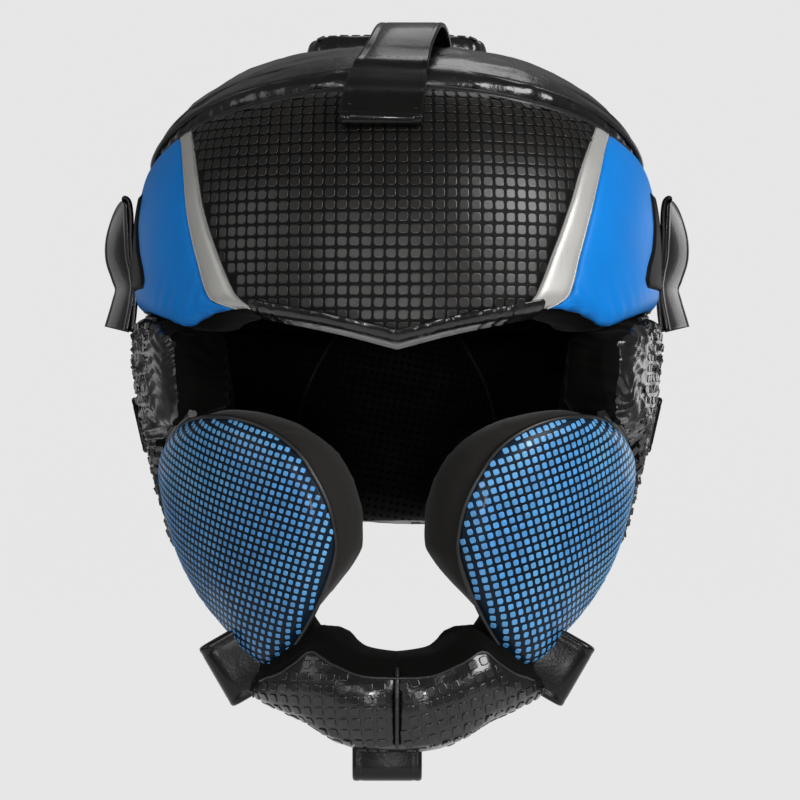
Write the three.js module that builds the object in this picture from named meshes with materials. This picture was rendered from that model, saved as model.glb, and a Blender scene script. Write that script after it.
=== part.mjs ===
// Full-face sparring headgear: padded forehead, crown, back, side and cheek pads round an open
// head cavity, a chin bar below the mouth, and short strap loops that would hold a face cage.
// Millimetres, +Z up, the face looks along -Y. The origin is the crown's inner top, where the head sits.
import * as THREE from "three";
import { mergeVertices } from "three/addons/utils/BufferGeometryUtils.js";

// Driving dimensions
const CROWN_TOP = 12; // outside of the crown above the head seat
const SHOULDER_Z = -75; // widest level, where the dome ends
const DOME_POWER = 2.5; // superellipse power of the dome's upright outline
const SECTION_POWER = 2.25; // superellipse power of a level section
const FOREHEAD_THICK = 26;
const SIDE_THICK = 24;
const BACK_THICK = 20;
const CHEEK_THICK = 27;
const CHIN_THICK = 25;
const COVER_THICK = 1.6; // sewn outer covers of the forehead and cheeks
const COVER_GAP = 0.75; // between curved faces, whose facets differ
const STRAP_WIDTH = 25.4; // webbing of the loops and the chin tab
const TOP_STRAP_WIDTH = 30;
const STRAP_THICK = 2;

// The outer skin below the shoulder: half width, and reach to the front and to the rear.
const SHELL_ROWS = [
  { z: -256, half: 64, front: 118, rear: 92 },
  { z: -230, half: 72, front: 121, rear: 96 },
  { z: -210, half: 80, front: 121.5, rear: 100 },
  { z: -190, half: 88, front: 122, rear: 104 },
  { z: -170, half: 94, front: 123, rear: 108 },
  { z: -150, half: 98.5, front: 124.5, rear: 113 },
  { z: -130, half: 103, front: 126, rear: 118 },
  { z: -110, half: 105.5, front: 127, rear: 121 },
  { z: SHOULDER_Z, half: 106, front: 127, rear: 122 },
];

// Forehead edges on one side of the middle; the other side mirrors them.
const FOREHEAD_ROWS = [
  { angle: 0, bottom: -109, top: -10.5 },
  { angle: 10, bottom: -103.5, top: -11 },
  { angle: 21, bottom: -99, top: -13 },
  { angle: 28, bottom: -97, top: -15 },
  { angle: 35, bottom: -99, top: -17 },
  { angle: 41, bottom: -103, top: -19 },
  { angle: 50, bottom: -99.5, top: -23 },
  { angle: 62, bottom: -96, top: -29 },
  { angle: 78, bottom: -94.5, top: -37 },
  { angle: 92, bottom: -94, top: -41 },
];
// Stripe edges at shares of the forehead's height, from the brow up.
const STRIPE_ROWS = [
  { share: 0, inner: 21.5, outer: 24 },
  { share: 0.05, inner: 25, outer: 31 },
  { share: 0.13, inner: 28, outer: 34.3 },
  { share: 0.3, inner: 30, outer: 36 },
  { share: 0.56, inner: 33.3, outer: 39.5 },
  { share: 0.8, inner: 39, outer: 46 },
  { share: 1, inner: 47, outer: 54.5 },
];
// Chin bar edges on one side of its middle seam.
const CHIN_ROWS = [
  { angle: 0, bottom: -255, top: -222.5 },
  { angle: 6, bottom: -254.2, top: -221.5 },
  { angle: 11, bottom: -253, top: -217.5 },
  { angle: 15, bottom: -250.5, top: -213.5 },
  { angle: 18, bottom: -248, top: -218.6 },
  { angle: 21, bottom: -245.6, top: -224.2 },
  { angle: 25, bottom: -243, top: -229 },
  { angle: 29, bottom: -240.6, top: -231.6 },
];
// The seam between the cheek and the side pad, from the temple back and down to the jaw.
const JAW_SEAM = [
  { angle: 44, z: -134.6 },
  { angle: 54, z: -140.4 },
  { angle: 62, z: -147 },
  { angle: 66.5, z: -155 },
  { angle: 68, z: -166 },
  { angle: 67.6, z: -178 },
  { angle: 66, z: -190 },
];
const JAW_GAP = { angle: 0.85, z: 1.1 }; // how far the side pad stays off the seam
// The leaf-shaped cheek: its jaw, its edge beside the mouth and its top.
const CHEEK_CENTRE = { angle: 38, z: -178 };
const CHEEK_OUTLINE = [
  ...JAW_SEAM,
  { angle: 56, z: -207 },
  { angle: 40, z: -221 },
  { angle: 27, z: -229.5 },
  { angle: 20, z: -219 },
  { angle: 13.5, z: -200 },
  { angle: 10.3, z: -181 },
  { angle: 10.8, z: -163 },
  { angle: 15, z: -145 },
  { angle: 22.5, z: -134.5 },
  { angle: 33, z: -130.5 },
];
const EAR_CENTRE = { angle: 97, z: -112 };
const EAR_HALF = { across: 7, up: 10 };
// The side pad's lower and rear edges; its front follows the jaw seam and its top the pads above.
const SIDE_REAR = [
  { angle: 68, z: -191.5 },
  { angle: 90, z: -191 },
  { angle: 108, z: -190 },
  { angle: 122, z: -189 },
  { angle: 124.4, z: -180 },
  { angle: 124.4, z: -145 },
  { angle: 124.4, z: -108 },
  { angle: 121.5, z: -98.4 },
  { angle: 112, z: -96.8 },
];
const SIDE_TOP_ANGLES = [94, 78, 62, 50, 45];
const SIDE_TOP_GAP = 1.2;
const SIDE_FRONT = { angle: 43.5, z: -117 };
const BACK = { from: 92.4, to: 267.6, bottom: -95, top: -42.5 };
const NAPE = { from: 125.2, to: 234.8, bottom: -187, top: -95.8 };
const NAPE_STRAP = { from: 84, to: 276, bottom: -149, top: -126, thick: 2.4 };
const CHIN = { from: 0.15, to: 29, round: 8, bulge: 3.5 };
const TOP_PAD = { halfX: 37, halfY: 28, y: 22, top: 20.5, power: 5, sides: 24, round: 4, rim: 1.2 };

// Top strap: runs forward over the crown's front edge and hangs in a stitched double end.
const TOP_STRAP_ROWS = [
  { x: 7, y: -26, z: 12.4, thick: 2 },
  { x: 6, y: -36, z: 15.8, thick: 2 },
  { x: 4, y: -48, z: 17.6, thick: 2 },
  { x: 1, y: -64, z: 15.4, thick: 2 },
  { x: -2, y: -82, z: 7.2, thick: 2 },
  { x: -4, y: -97, z: -4, thick: 2.6 },
  { x: -5, y: -109, z: -14.4, thick: 5 },
  { x: -6, y: -118.4, z: -26.5, thick: 5 },
];

// Forms
const DEG = Math.PI / 180;
const MM_PER_DEGREE = 1.8; // arc length of a degree on the shell, near enough for edges
const NORMAL_STEP = 0.02;

// The value of a column at a key, on a cubic through the rows, which are sorted by that key.
function tableValue(rows, key, at, column) {
  const last = rows.length - 1;
  const found = rows.findIndex((row) => row[key] >= at);
  const i = Math.min(Math.max(found < 0 ? last : found, 1), last);
  const slope = (a, b) => (rows[b][column] - rows[a][column]) / (rows[b][key] - rows[a][key]);
  const span = rows[i][key] - rows[i - 1][key];
  const t = THREE.MathUtils.clamp((at - rows[i - 1][key]) / span, 0, 1);
  const start = slope(Math.max(i - 2, 0), i) * span;
  const end = slope(i - 1, Math.min(i + 1, last)) * span;
  const [a, b] = [rows[i - 1][column], rows[i][column]];
  const bend = 2 * (a - b) + start + end;
  return a + t * (start + t * (3 * (b - a) - 2 * start - end + t * bend));
}

function domeShare(z) {
  const rise = Math.min((z - SHOULDER_Z) / (CROWN_TOP - SHOULDER_Z), 1);
  return (1 - rise ** DOME_POWER) ** (1 / DOME_POWER);
}

// A point of the shell at a polar angle from the face and a level.
function shellPoint(angle, z) {
  const level = Math.min(z, SHOULDER_Z);
  const share = z > SHOULDER_Z ? domeShare(z) : 1;
  const sin = Math.sin(angle * DEG);
  const cos = Math.cos(angle * DEG);
  const half = tableValue(SHELL_ROWS, "z", level, "half");
  const reach = tableValue(SHELL_ROWS, "z", level, cos >= 0 ? "front" : "rear");
  const sum = Math.abs(sin / half) ** SECTION_POWER + Math.abs(cos / reach) ** SECTION_POWER;
  const radius = share / sum ** (1 / SECTION_POWER);
  return new THREE.Vector3(radius * sin, -radius * cos, z);
}

function shellNormal(angle, z) {
  if (z > CROWN_TOP - 5 * NORMAL_STEP) return new THREE.Vector3(0, 0, 1);
  const along = shellPoint(angle + NORMAL_STEP, z).sub(shellPoint(angle - NORMAL_STEP, z));
  const up = shellPoint(angle, z + NORMAL_STEP).sub(shellPoint(angle, z - NORMAL_STEP));
  return along.cross(up).normalize();
}

function onShell(angle, z, offset) {
  return shellPoint(angle, z).addScaledVector(shellNormal(angle, z), offset);
}

// The crown's height above a point of the plan.
function crownHeight(x, y) {
  const reach = tableValue(SHELL_ROWS, "z", SHOULDER_Z, y < 0 ? "front" : "rear");
  const half = tableValue(SHELL_ROWS, "z", SHOULDER_Z, "half");
  const sum = Math.abs(x / half) ** SECTION_POWER + Math.abs(y / reach) ** SECTION_POWER;
  const share = sum ** (DOME_POWER / SECTION_POWER);
  return SHOULDER_Z + (CROWN_TOP - SHOULDER_Z) * (1 - share) ** (1 / DOME_POWER);
}

// How far a rounded edge lies below the face, at a distance in from the edge.
function edgeDip(distance, radius) {
  const inward = Math.max(radius - distance, 0);
  return radius - Math.sqrt(radius * radius - inward * inward);
}

// A closed body between two grids of points; wrap joins each row's ends.
function closedSkin(outer, inner, wrap = false) {
  const triangles = [];
  const quad = (a, b, c, d) => triangles.push([a, b, c], [a, c, d]);
  const lastRow = outer.length - 1;
  const count = outer[0].length;
  const steps = wrap ? count : count - 1;
  for (let c = 0; c < steps; c++) {
    const d = (c + 1) % count;
    for (let r = 0; r < lastRow; r++) {
      quad(outer[r][c], outer[r][d], outer[r + 1][d], outer[r + 1][c]);
      quad(inner[r][c], inner[r + 1][c], inner[r + 1][d], inner[r][d]);
    }
    quad(outer[0][d], outer[0][c], inner[0][c], inner[0][d]);
    quad(outer[lastRow][c], outer[lastRow][d], inner[lastRow][d], inner[lastRow][c]);
  }
  for (let r = 0; r < lastRow && !wrap; r++) {
    const e = count - 1;
    quad(outer[r][0], outer[r + 1][0], inner[r + 1][0], inner[r][0]);
    quad(outer[r + 1][e], outer[r][e], inner[r][e], inner[r + 1][e]);
  }
  const real = triangles.filter(([a, b, c]) => !a.equals(b) && !b.equals(c) && !c.equals(a));
  const volume = real.reduce((sum, [a, b, c]) => sum + a.dot(b.clone().cross(c)), 0);
  const corners = real.flatMap(([a, b, c]) => (volume > 0 ? [a, b, c] : [a, c, b]));
  return mergeVertices(new THREE.BufferGeometry().setFromPoints(corners));
}

// Stations from one end to the other, closer together near both ends for the rounded edges.
function stations(from, to, steps, margins) {
  const inside = Array.from({ length: steps + 1 }, (_, i) => i / steps);
  const low = margins.map((m) => from + m);
  const high = margins.map((m) => to - m).reverse();
  const [start, end] = [from + Math.max(...margins, 0), to - Math.max(...margins, 0)];
  const middle = inside.slice(1, -1).map((t) => start + (end - start) * t);
  return [from, ...low, ...middle, ...high, to];
}

const EDGE_SHARES = stations(0, 1, 5, [0.03, 0.1]);
const FLAT_SHARES = [0, 1];

// A pad that wraps round the head between its bottom and top edges.
function bandPad({ angles, edges, shares = EDGE_SHARES, outer = 0, thick, round, bulge = 0 }) {
  const [first, last] = [angles[0], angles[angles.length - 1]];
  const grid = (offsetAt) =>
    shares.map((share) =>
      angles.map((angle) => {
        const { bottom, top } = edges(angle);
        const up = Math.min(share, 1 - share) * (top - bottom);
        const along = Math.min(angle - first, last - angle) * MM_PER_DEGREE;
        const z = bottom + (top - bottom) * share;
        return onShell(angle, z, offsetAt(Math.min(up, along), share));
      }),
    );
  const face = (distance, share) =>
    outer - edgeDip(distance, round) + bulge * Math.sin(Math.PI * share);
  return closedSkin(grid(face), grid(() => outer - thick));
}

// A pad grown in rings from a centre, or from a hole, out to a closed outline. The last rings lie
// at the given distances in from the outline.
function ringPad({ outline, perPoint = 2, rings, distances, place, outer, inner, hole }) {
  const segments = perPoint * outline.points.length;
  const curve = new THREE.CatmullRomCurve3(outline.points, true, "centripetal");
  const edge = curve.getPoints(segments).slice(0, segments);
  const row = (depthAt, offset) =>
    edge.map((point) => {
      const ray = outline.centre.clone().sub(point);
      const reach = ray.length() - (hole ? hole(ray) : 0);
      const distance = depthAt(reach);
      const spot = point.clone().addScaledVector(ray.normalize(), distance);
      return place(spot, offset(distance, spot));
    });
  const depths = [
    ...Array.from({ length: rings }, (_, i) => (reach) => reach + (distances[0] - reach) * (i / rings)),
    ...distances.map((distance) => () => distance),
  ];
  return closedSkin(
    depths.map((depth) => row(depth, outer)),
    depths.map((depth) => row(depth, inner)),
    true,
  );
}

// A table of angles and levels as plan points in millimetres, for ringPad on the shell.
function shellOutline(rows, centre) {
  const flat = (row) => new THREE.Vector3(row.angle * MM_PER_DEGREE, row.z, 0);
  return { points: rows.map(flat), centre: flat(centre) };
}
const fromFlat = (spot, offset) => onShell(spot.x / MM_PER_DEGREE, spot.y, offset);

// Forehead: one foam pad under five sewn covers
const FOREHEAD_ROUND = 9;
const FOREHEAD_END = 92;
const FOREHEAD_MARGINS = [5, 1.5]; // stations of its rounded ends, in degrees
const FOREHEAD_HALF = [
  ...FOREHEAD_ROWS.slice(1).flatMap((row, i) => [(FOREHEAD_ROWS[i].angle + row.angle) / 2, row.angle]),
  ...FOREHEAD_MARGINS.map((margin) => FOREHEAD_END - margin),
].sort((a, b) => a - b);
const FOREHEAD_ANGLES = [...FOREHEAD_HALF.map((angle) => -angle).reverse(), 0, ...FOREHEAD_HALF];
const CORE_DEPTH = COVER_THICK + COVER_GAP;

function foreheadEdges(angle) {
  const at = Math.abs(angle);
  return {
    bottom: tableValue(FOREHEAD_ROWS, "angle", at, "bottom"),
    top: tableValue(FOREHEAD_ROWS, "angle", at, "top"),
  };
}

function foreheadPoint(angle, share, depth) {
  const { bottom, top } = foreheadEdges(angle);
  const up = Math.min(share, 1 - share) * (top - bottom);
  const along = (FOREHEAD_END - Math.abs(angle)) * MM_PER_DEGREE;
  const dip = edgeDip(Math.min(up, along), FOREHEAD_ROUND);
  return onShell(angle, bottom + (top - bottom) * share, -dip - depth);
}

function foreheadPad() {
  return bandPad({
    angles: FOREHEAD_ANGLES,
    edges: foreheadEdges,
    outer: -CORE_DEPTH,
    thick: FOREHEAD_THICK - CORE_DEPTH,
    round: FOREHEAD_ROUND,
  });
}

// A cover of the forehead between two angles that change with the share of its height. It keeps
// the foam's stations, held between the two angles, so that its facets lie along the foam's.
function foreheadCover(leftAt, rightAt) {
  const shares = EDGE_SHARES.slice(1, -1);
  const grid = (depth) =>
    shares.map((share) =>
      FOREHEAD_ANGLES.map((angle) => {
        const held = THREE.MathUtils.clamp(angle, leftAt(share), rightAt(share));
        return foreheadPoint(held, share, depth);
      }),
    );
  return closedSkin(grid(0), grid(COVER_THICK));
}

const SEAM_ANGLE = 0.15; // half of the gap at a seam between two covers, in degrees
const stripeEdge = (share, column) => tableValue(STRIPE_ROWS, "share", share, column);

// A cover on one side, right for +1 and left for -1, between its angles nearer to and further from the face.
function sideCover(side, nearAt, farAt) {
  const near = (share) => side * nearAt(share);
  const far = (share) => side * farAt(share);
  return side > 0 ? foreheadCover(near, far) : foreheadCover(far, near);
}

function stripeCover(side) {
  const inner = (share) => stripeEdge(share, "inner") + SEAM_ANGLE;
  const outer = (share) => stripeEdge(share, "outer") - SEAM_ANGLE;
  return sideCover(side, inner, outer);
}

function wingCover(side) {
  const end = FOREHEAD_END - FOREHEAD_MARGINS[1];
  return sideCover(side, (share) => stripeEdge(share, "outer") + SEAM_ANGLE, () => end);
}

function centreCover() {
  const edge = (share) => stripeEdge(share, "inner") - SEAM_ANGLE;
  return foreheadCover((share) => -edge(share), edge);
}

// Crown: a dome inside the top edges of the forehead and the back pad
const CROWN_COLUMNS = 36;
const CROWN_ARC = 105;
const CROWN_ROUND = 6;
const CROWN_SHARES = [0, 0.02, 0.06, 0.25, 0.5, 0.75, 1];
const CROWN_LIFT = 0.55; // gap above the pads round it, measured upright

function crownEdge(angle) {
  const behind = Math.abs(angle) > FOREHEAD_END;
  return (behind ? BACK.top : foreheadEdges(angle).top) + CROWN_LIFT;
}

function crownPad() {
  const angles = Array.from({ length: CROWN_COLUMNS }, (_, i) => (i / CROWN_COLUMNS) * 360 - 180);
  const height = CROWN_TOP - SHOULDER_Z;
  const grid = (offsetAt) =>
    CROWN_SHARES.map((share) =>
      angles.map((angle) => {
        const start = Math.asin(((crownEdge(angle) - SHOULDER_Z) / height) ** (DOME_POWER / 2));
        const climb = start + (Math.PI / 2 - start) * share;
        const z = share === 1 ? CROWN_TOP : SHOULDER_Z + height * Math.sin(climb) ** (2 / DOME_POWER);
        return onShell(share === 1 ? 0 : angle, z, offsetAt(share));
      }),
    );
  const face = (share) => -edgeDip(share * CROWN_ARC, CROWN_ROUND);
  return closedSkin(grid(face), grid(() => -CROWN_TOP), true);
}

// Top pad: a flat rounded block on the crown
function topPad() {
  const { halfX, halfY, y, top, power, sides, round, rim } = TOP_PAD;
  const points = Array.from({ length: sides }, (_, i) => {
    const turn = (i / sides) * 2 * Math.PI;
    const [sin, cos] = [Math.sin(turn), Math.cos(turn)];
    const radius = 1 / (Math.abs(cos) ** power + Math.abs(sin) ** power) ** (1 / power);
    return new THREE.Vector3(halfX * radius * cos, y + halfY * radius * sin, 0);
  });
  return ringPad({
    outline: { points, centre: new THREE.Vector3(0, y, 0) },
    perPoint: 1,
    rings: 2,
    distances: [round, rim, 0],
    place: (spot, level) => spot.clone().setZ(level),
    outer: (distance) => top - edgeDip(distance, round),
    inner: (distance, spot) => crownHeight(spot.x, spot.y) + COVER_GAP,
  });
}

// Cheeks and sides
const CHEEK_ROUND = 10;
const CHEEK_BULGE = 4;
const CHEEK_SWELL = 40; // distance from the edge at which the bulge is full
const CHEEK_RINGS = 2;
const CHEEK_DISTANCES = [CHEEK_ROUND, 4, 1.6]; // rings of the rounded edge
const SIDE_ROUND = 7;
const SIDE_DISTANCES = [SIDE_ROUND, 2, 0];

function cheekFace(distance) {
  const swell = 1 - Math.max(1 - distance / CHEEK_SWELL, 0) ** 2;
  return CHEEK_BULGE * swell - edgeDip(distance, CHEEK_ROUND);
}

function cheekPad() {
  return ringPad({
    outline: shellOutline(CHEEK_OUTLINE, CHEEK_CENTRE),
    rings: CHEEK_RINGS,
    distances: [...CHEEK_DISTANCES, 0],
    place: fromFlat,
    outer: (distance) => cheekFace(distance) - CORE_DEPTH,
    inner: () => -CHEEK_THICK,
  });
}

function cheekCover() {
  return ringPad({
    outline: shellOutline(CHEEK_OUTLINE, CHEEK_CENTRE),
    rings: CHEEK_RINGS,
    distances: CHEEK_DISTANCES,
    place: fromFlat,
    outer: (distance) => cheekFace(distance),
    inner: (distance) => cheekFace(distance) - COVER_THICK,
  });
}

function sideOutline() {
  const front = JAW_SEAM.map(({ angle, z }) => ({ angle: angle + JAW_GAP.angle, z: z + JAW_GAP.z }));
  const above = (angle) => (angle > FOREHEAD_END ? BACK.bottom : foreheadEdges(angle).bottom);
  const top = SIDE_TOP_ANGLES.map((angle) => ({ angle, z: above(angle) - SIDE_TOP_GAP }));
  return [...front, ...SIDE_REAR, ...top, SIDE_FRONT];
}

function sidePad() {
  const earReach = (ray) => {
    const { x, y } = ray.clone().normalize();
    return 1 / Math.hypot(x / EAR_HALF.across, y / EAR_HALF.up);
  };
  return ringPad({
    outline: shellOutline(sideOutline(), EAR_CENTRE),
    rings: 2,
    distances: SIDE_DISTANCES,
    place: fromFlat,
    outer: (distance) => -edgeDip(distance, SIDE_ROUND),
    inner: () => -SIDE_THICK,
    hole: earReach,
  });
}

// Back, nape and chin
const BACK_ROUND = 8;
const BACK_MARGINS = [1.5, 4]; // stations of the rounded ends, in degrees
const CHIN_MARGINS = [0.8, 2];

function backPad() {
  return bandPad({
    angles: stations(BACK.from, BACK.to, 16, BACK_MARGINS),
    edges: () => BACK,
    thick: BACK_THICK,
    round: BACK_ROUND,
  });
}

function napePad() {
  return bandPad({
    angles: stations(NAPE.from, NAPE.to, 11, BACK_MARGINS),
    edges: () => NAPE,
    thick: BACK_THICK,
    round: BACK_ROUND,
  });
}

function napeStrap() {
  return bandPad({
    angles: stations(NAPE_STRAP.from, NAPE_STRAP.to, 32, []),
    edges: () => NAPE_STRAP,
    shares: FLAT_SHARES,
    outer: COVER_GAP + NAPE_STRAP.thick,
    thick: NAPE_STRAP.thick,
    round: 0,
  });
}

function chinHalf() {
  return bandPad({
    angles: stations(CHIN.from, CHIN.to, 9, CHIN_MARGINS),
    shares: stations(0, 1, 4, [0.12]),
    edges: (angle) => ({
      bottom: tableValue(CHIN_ROWS, "angle", angle, "bottom"),
      top: tableValue(CHIN_ROWS, "angle", angle, "top"),
    }),
    thick: CHIN_THICK,
    round: CHIN.round,
    bulge: CHIN.bulge,
  });
}

// Straps
function topStrap() {
  const centres = TOP_STRAP_ROWS.map(({ x, y, z }) => new THREE.Vector3(x, y, z));
  const path = new THREE.CatmullRomCurve3(centres);
  const steps = 3 * (centres.length - 1);
  const side = (sign) =>
    Array.from({ length: steps + 1 }, (_, i) => {
      const t = i / steps;
      const row = Math.min(Math.floor(t * (centres.length - 1)), centres.length - 2);
      const part = t * (centres.length - 1) - row;
      const [a, b] = [TOP_STRAP_ROWS[row].thick, TOP_STRAP_ROWS[row + 1].thick];
      const away = path.getTangent(t).cross(new THREE.Vector3(1, 0, 0)).normalize();
      const middle = path.getPoint(t).addScaledVector(away, (sign * THREE.MathUtils.lerp(a, b, part)) / 2);
      return [-1, 1].map((end) => middle.clone().setX(middle.x + (end * TOP_STRAP_WIDTH) / 2));
    });
  return closedSkin(side(1), side(-1));
}

// A strap loop in profile: a closed band, bowed out from a flat back, with a tail below its pinch.
function tailedLoop({ height, bow, tail, flare }) {
  const shape = new THREE.Shape();
  shape.moveTo(0, 0);
  shape.lineTo(0, -height - STRAP_THICK);
  shape.lineTo(flare, -height - tail);
  shape.lineTo(flare + 2 * STRAP_THICK, -height - tail + 1);
  shape.lineTo(2 * STRAP_THICK, -height + STRAP_THICK);
  shape.quadraticCurveTo(2 * bow, -height / 2, STRAP_THICK, 0);
  shape.closePath();
  const inside = new THREE.Path();
  inside.moveTo(STRAP_THICK, -2.5 * STRAP_THICK);
  inside.quadraticCurveTo(2 * bow - 3 * STRAP_THICK, -height / 2, STRAP_THICK, -height + 1.5 * STRAP_THICK);
  inside.closePath();
  shape.holes.push(inside);
  return new THREE.ExtrudeGeometry(shape, { depth: STRAP_WIDTH, bevelEnabled: false, curveSegments: 10 });
}

// A short fold of strap in profile: a flat oval ring.
function foldLoop({ reach, gap }) {
  const oval = (path, half, inset) => {
    const straight = reach - half - inset;
    path.moveTo(-half, inset);
    path.lineTo(half, inset);
    path.lineTo(half, straight);
    path.absarc(0, straight, half, 0, Math.PI, false);
    path.closePath();
    return path;
  };
  const outline = oval(new THREE.Shape(), gap / 2 + STRAP_THICK, 0);
  outline.holes.push(oval(new THREE.Path(), gap / 2, STRAP_THICK));
  return new THREE.ExtrudeGeometry(outline, { depth: STRAP_WIDTH, bevelEnabled: false, curveSegments: 8 });
}

// Materials
const finish = (color, roughness) => new THREE.MeshStandardMaterial({ color, roughness, metalness: 0 });
const GRID_BLACK = finish("#262320", 0.45);
const GLOSS_BLACK = finish("#131313", 0.25);
const LINING_BLACK = finish("#1a1a1a", 0.8);
const WING_BLUE = finish("#2a6fc4", 0.35);
const CHEEK_BLUE = finish("#2f6fb8", 0.3);
const SILVER = finish("#b9b6ae", 0.45);
const STRAP_BLACK = finish("#1d1c1b", 0.4);

// Assembly
const headgear = new THREE.Group();
headgear.name = "sparring_headgear";

function add(name, geometry, material, parent = headgear) {
  const mesh = new THREE.Mesh(geometry, material);
  mesh.name = name;
  parent.add(mesh);
  return mesh;
}

// The other half of a mirrored pair.
function mirrored(geometry) {
  const half = geometry.clone().applyMatrix4(new THREE.Matrix4().makeScale(-1, 1, 1));
  const flat = half.index ? half.toNonIndexed() : half;
  const position = flat.getAttribute("position");
  const corner = (i) => new THREE.Vector3().fromBufferAttribute(position, i);
  const turned = Array.from({ length: position.count }, (_, i) => corner(i - (i % 3) + [0, 2, 1][i % 3]));
  return mergeVertices(new THREE.BufferGeometry().setFromPoints(turned));
}

function addPair(name, geometry, material) {
  add(`${name}_right`, geometry, material);
  add(`${name}_left`, mirrored(geometry), material);
}

add("forehead_pad", foreheadPad(), LINING_BLACK);
add("forehead_cover", centreCover(), GRID_BLACK);
add("forehead_stripe_right", stripeCover(1), SILVER);
add("forehead_stripe_left", stripeCover(-1), SILVER);
add("temple_cover_right", wingCover(1), WING_BLUE);
add("temple_cover_left", wingCover(-1), WING_BLUE);
add("crown_pad", crownPad(), GLOSS_BLACK);
add("top_pad", topPad(), STRAP_BLACK);
add("back_pad", backPad(), GLOSS_BLACK);
add("nape_pad", napePad(), GLOSS_BLACK);
addPair("side_pad", sidePad(), GLOSS_BLACK);
addPair("cheek_pad", cheekPad(), LINING_BLACK);
addPair("cheek_cover", cheekCover(), CHEEK_BLUE);
addPair("chin_bar", chinHalf(), GLOSS_BLACK);
add("nape_strap", napeStrap(), STRAP_BLACK);
add("top_strap", topStrap(), STRAP_BLACK);

// Temple loops stand on the wings, their width along Y.
const TEMPLE_LOOP = { height: 31, bow: 10, tail: 19, flare: 4.5 };
const TEMPLE_SEAT = { x: 106.6, y: -3, z: -52 };
// Chin loops stand out from the cheeks' lower corners, and one hangs below the chin bar.
const CHIN_LOOP = { reach: 14, gap: 3.4 };
const CHIN_SEAT = { x: 57.5, y: -82, z: -226.2, turn: 30 };
const CHIN_TAB = { reach: 13, gap: 3.4 };
const CHIN_TAB_SEAT = { x: -3.6, y: -106, z: -254.4 };

function templeLoop() {
  const upright = new THREE.Matrix4().makeRotationX(Math.PI / 2);
  const seat = new THREE.Matrix4().makeTranslation(TEMPLE_SEAT.x, TEMPLE_SEAT.y, TEMPLE_SEAT.z);
  return tailedLoop(TEMPLE_LOOP).applyMatrix4(upright).applyMatrix4(seat);
}

// Puts a fold so that its reach points down, its width runs along X and its middle is at the origin.
function hanging(geometry) {
  const centred = new THREE.Matrix4().makeTranslation(0, 0, -STRAP_WIDTH / 2);
  const along = new THREE.Matrix4().makeRotationY(Math.PI / 2);
  const down = new THREE.Matrix4().makeRotationX(-Math.PI / 2);
  return geometry.applyMatrix4(centred).applyMatrix4(along).applyMatrix4(down);
}

function chinLoop() {
  const turn = new THREE.Matrix4().makeRotationY((-90 + CHIN_SEAT.turn) * DEG);
  const seat = new THREE.Matrix4().makeTranslation(CHIN_SEAT.x, CHIN_SEAT.y, CHIN_SEAT.z);
  return hanging(foldLoop(CHIN_LOOP)).applyMatrix4(turn).applyMatrix4(seat);
}

function chinTab() {
  const seat = new THREE.Matrix4().makeTranslation(CHIN_TAB_SEAT.x, CHIN_TAB_SEAT.y, CHIN_TAB_SEAT.z);
  return hanging(foldLoop(CHIN_TAB)).applyMatrix4(seat);
}

addPair("temple_loop", templeLoop(), STRAP_BLACK);
addPair("chin_loop", chinLoop(), STRAP_BLACK);
add("chin_tab", chinTab(), STRAP_BLACK);

export default headgear;
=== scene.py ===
"""Full-face sparring headgear: padded leather, sewn covers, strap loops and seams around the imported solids.

Sizes in the tables are millimetres and degrees; meshes are written in metres. An angle is measured
round the head from the face (-Y) towards +X, and the origin is the crown's inner top.
"""

import itertools
import math
from typing import NamedTuple

import bmesh
import bpy
import numpy as np
from bpy.props import FloatProperty, FloatVectorProperty, PointerProperty
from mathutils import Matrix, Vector
from mathutils.bvhtree import BVHTree


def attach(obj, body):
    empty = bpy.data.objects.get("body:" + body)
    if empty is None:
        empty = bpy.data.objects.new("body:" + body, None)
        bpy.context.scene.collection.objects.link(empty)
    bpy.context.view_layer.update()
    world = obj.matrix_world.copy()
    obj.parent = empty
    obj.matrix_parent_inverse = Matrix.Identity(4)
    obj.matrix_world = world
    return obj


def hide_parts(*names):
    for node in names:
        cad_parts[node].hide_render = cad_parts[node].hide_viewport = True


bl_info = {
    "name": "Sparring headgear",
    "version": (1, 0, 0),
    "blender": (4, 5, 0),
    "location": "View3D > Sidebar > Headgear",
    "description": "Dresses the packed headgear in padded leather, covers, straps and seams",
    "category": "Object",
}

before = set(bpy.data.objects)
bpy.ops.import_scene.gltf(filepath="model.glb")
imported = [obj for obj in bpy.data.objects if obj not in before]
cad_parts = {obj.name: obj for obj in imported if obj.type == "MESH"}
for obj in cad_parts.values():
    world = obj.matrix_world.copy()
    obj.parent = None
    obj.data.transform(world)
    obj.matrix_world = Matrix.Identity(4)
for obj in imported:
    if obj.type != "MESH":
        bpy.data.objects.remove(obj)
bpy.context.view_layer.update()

MM = 0.001
DEG = math.pi / 180
SIDES = {"right": 1, "left": -1}  # as the photograph shows them, with the sign of X

# The outer skin below the shoulder: level, half width, and reach to the front and to the rear.
SHELL = {
    "z": (-256, -230, -210, -190, -170, -150, -130, -110, -75),
    "half": (64, 72, 80, 88, 94, 98.5, 103, 105.5, 106),
    "front": (118, 121, 121.5, 122, 123, 124.5, 126, 127, 127),
    "rear": (92, 96, 100, 104, 108, 113, 118, 121, 122),
}
CROWN_TOP = 12
SHOULDER_Z = -75
DOME_POWER = 2.5
SECTION_POWER = 2.25
ARC_PER_DEGREE = 1.8  # millimetres along the shell, near enough for flat outlines

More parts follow.
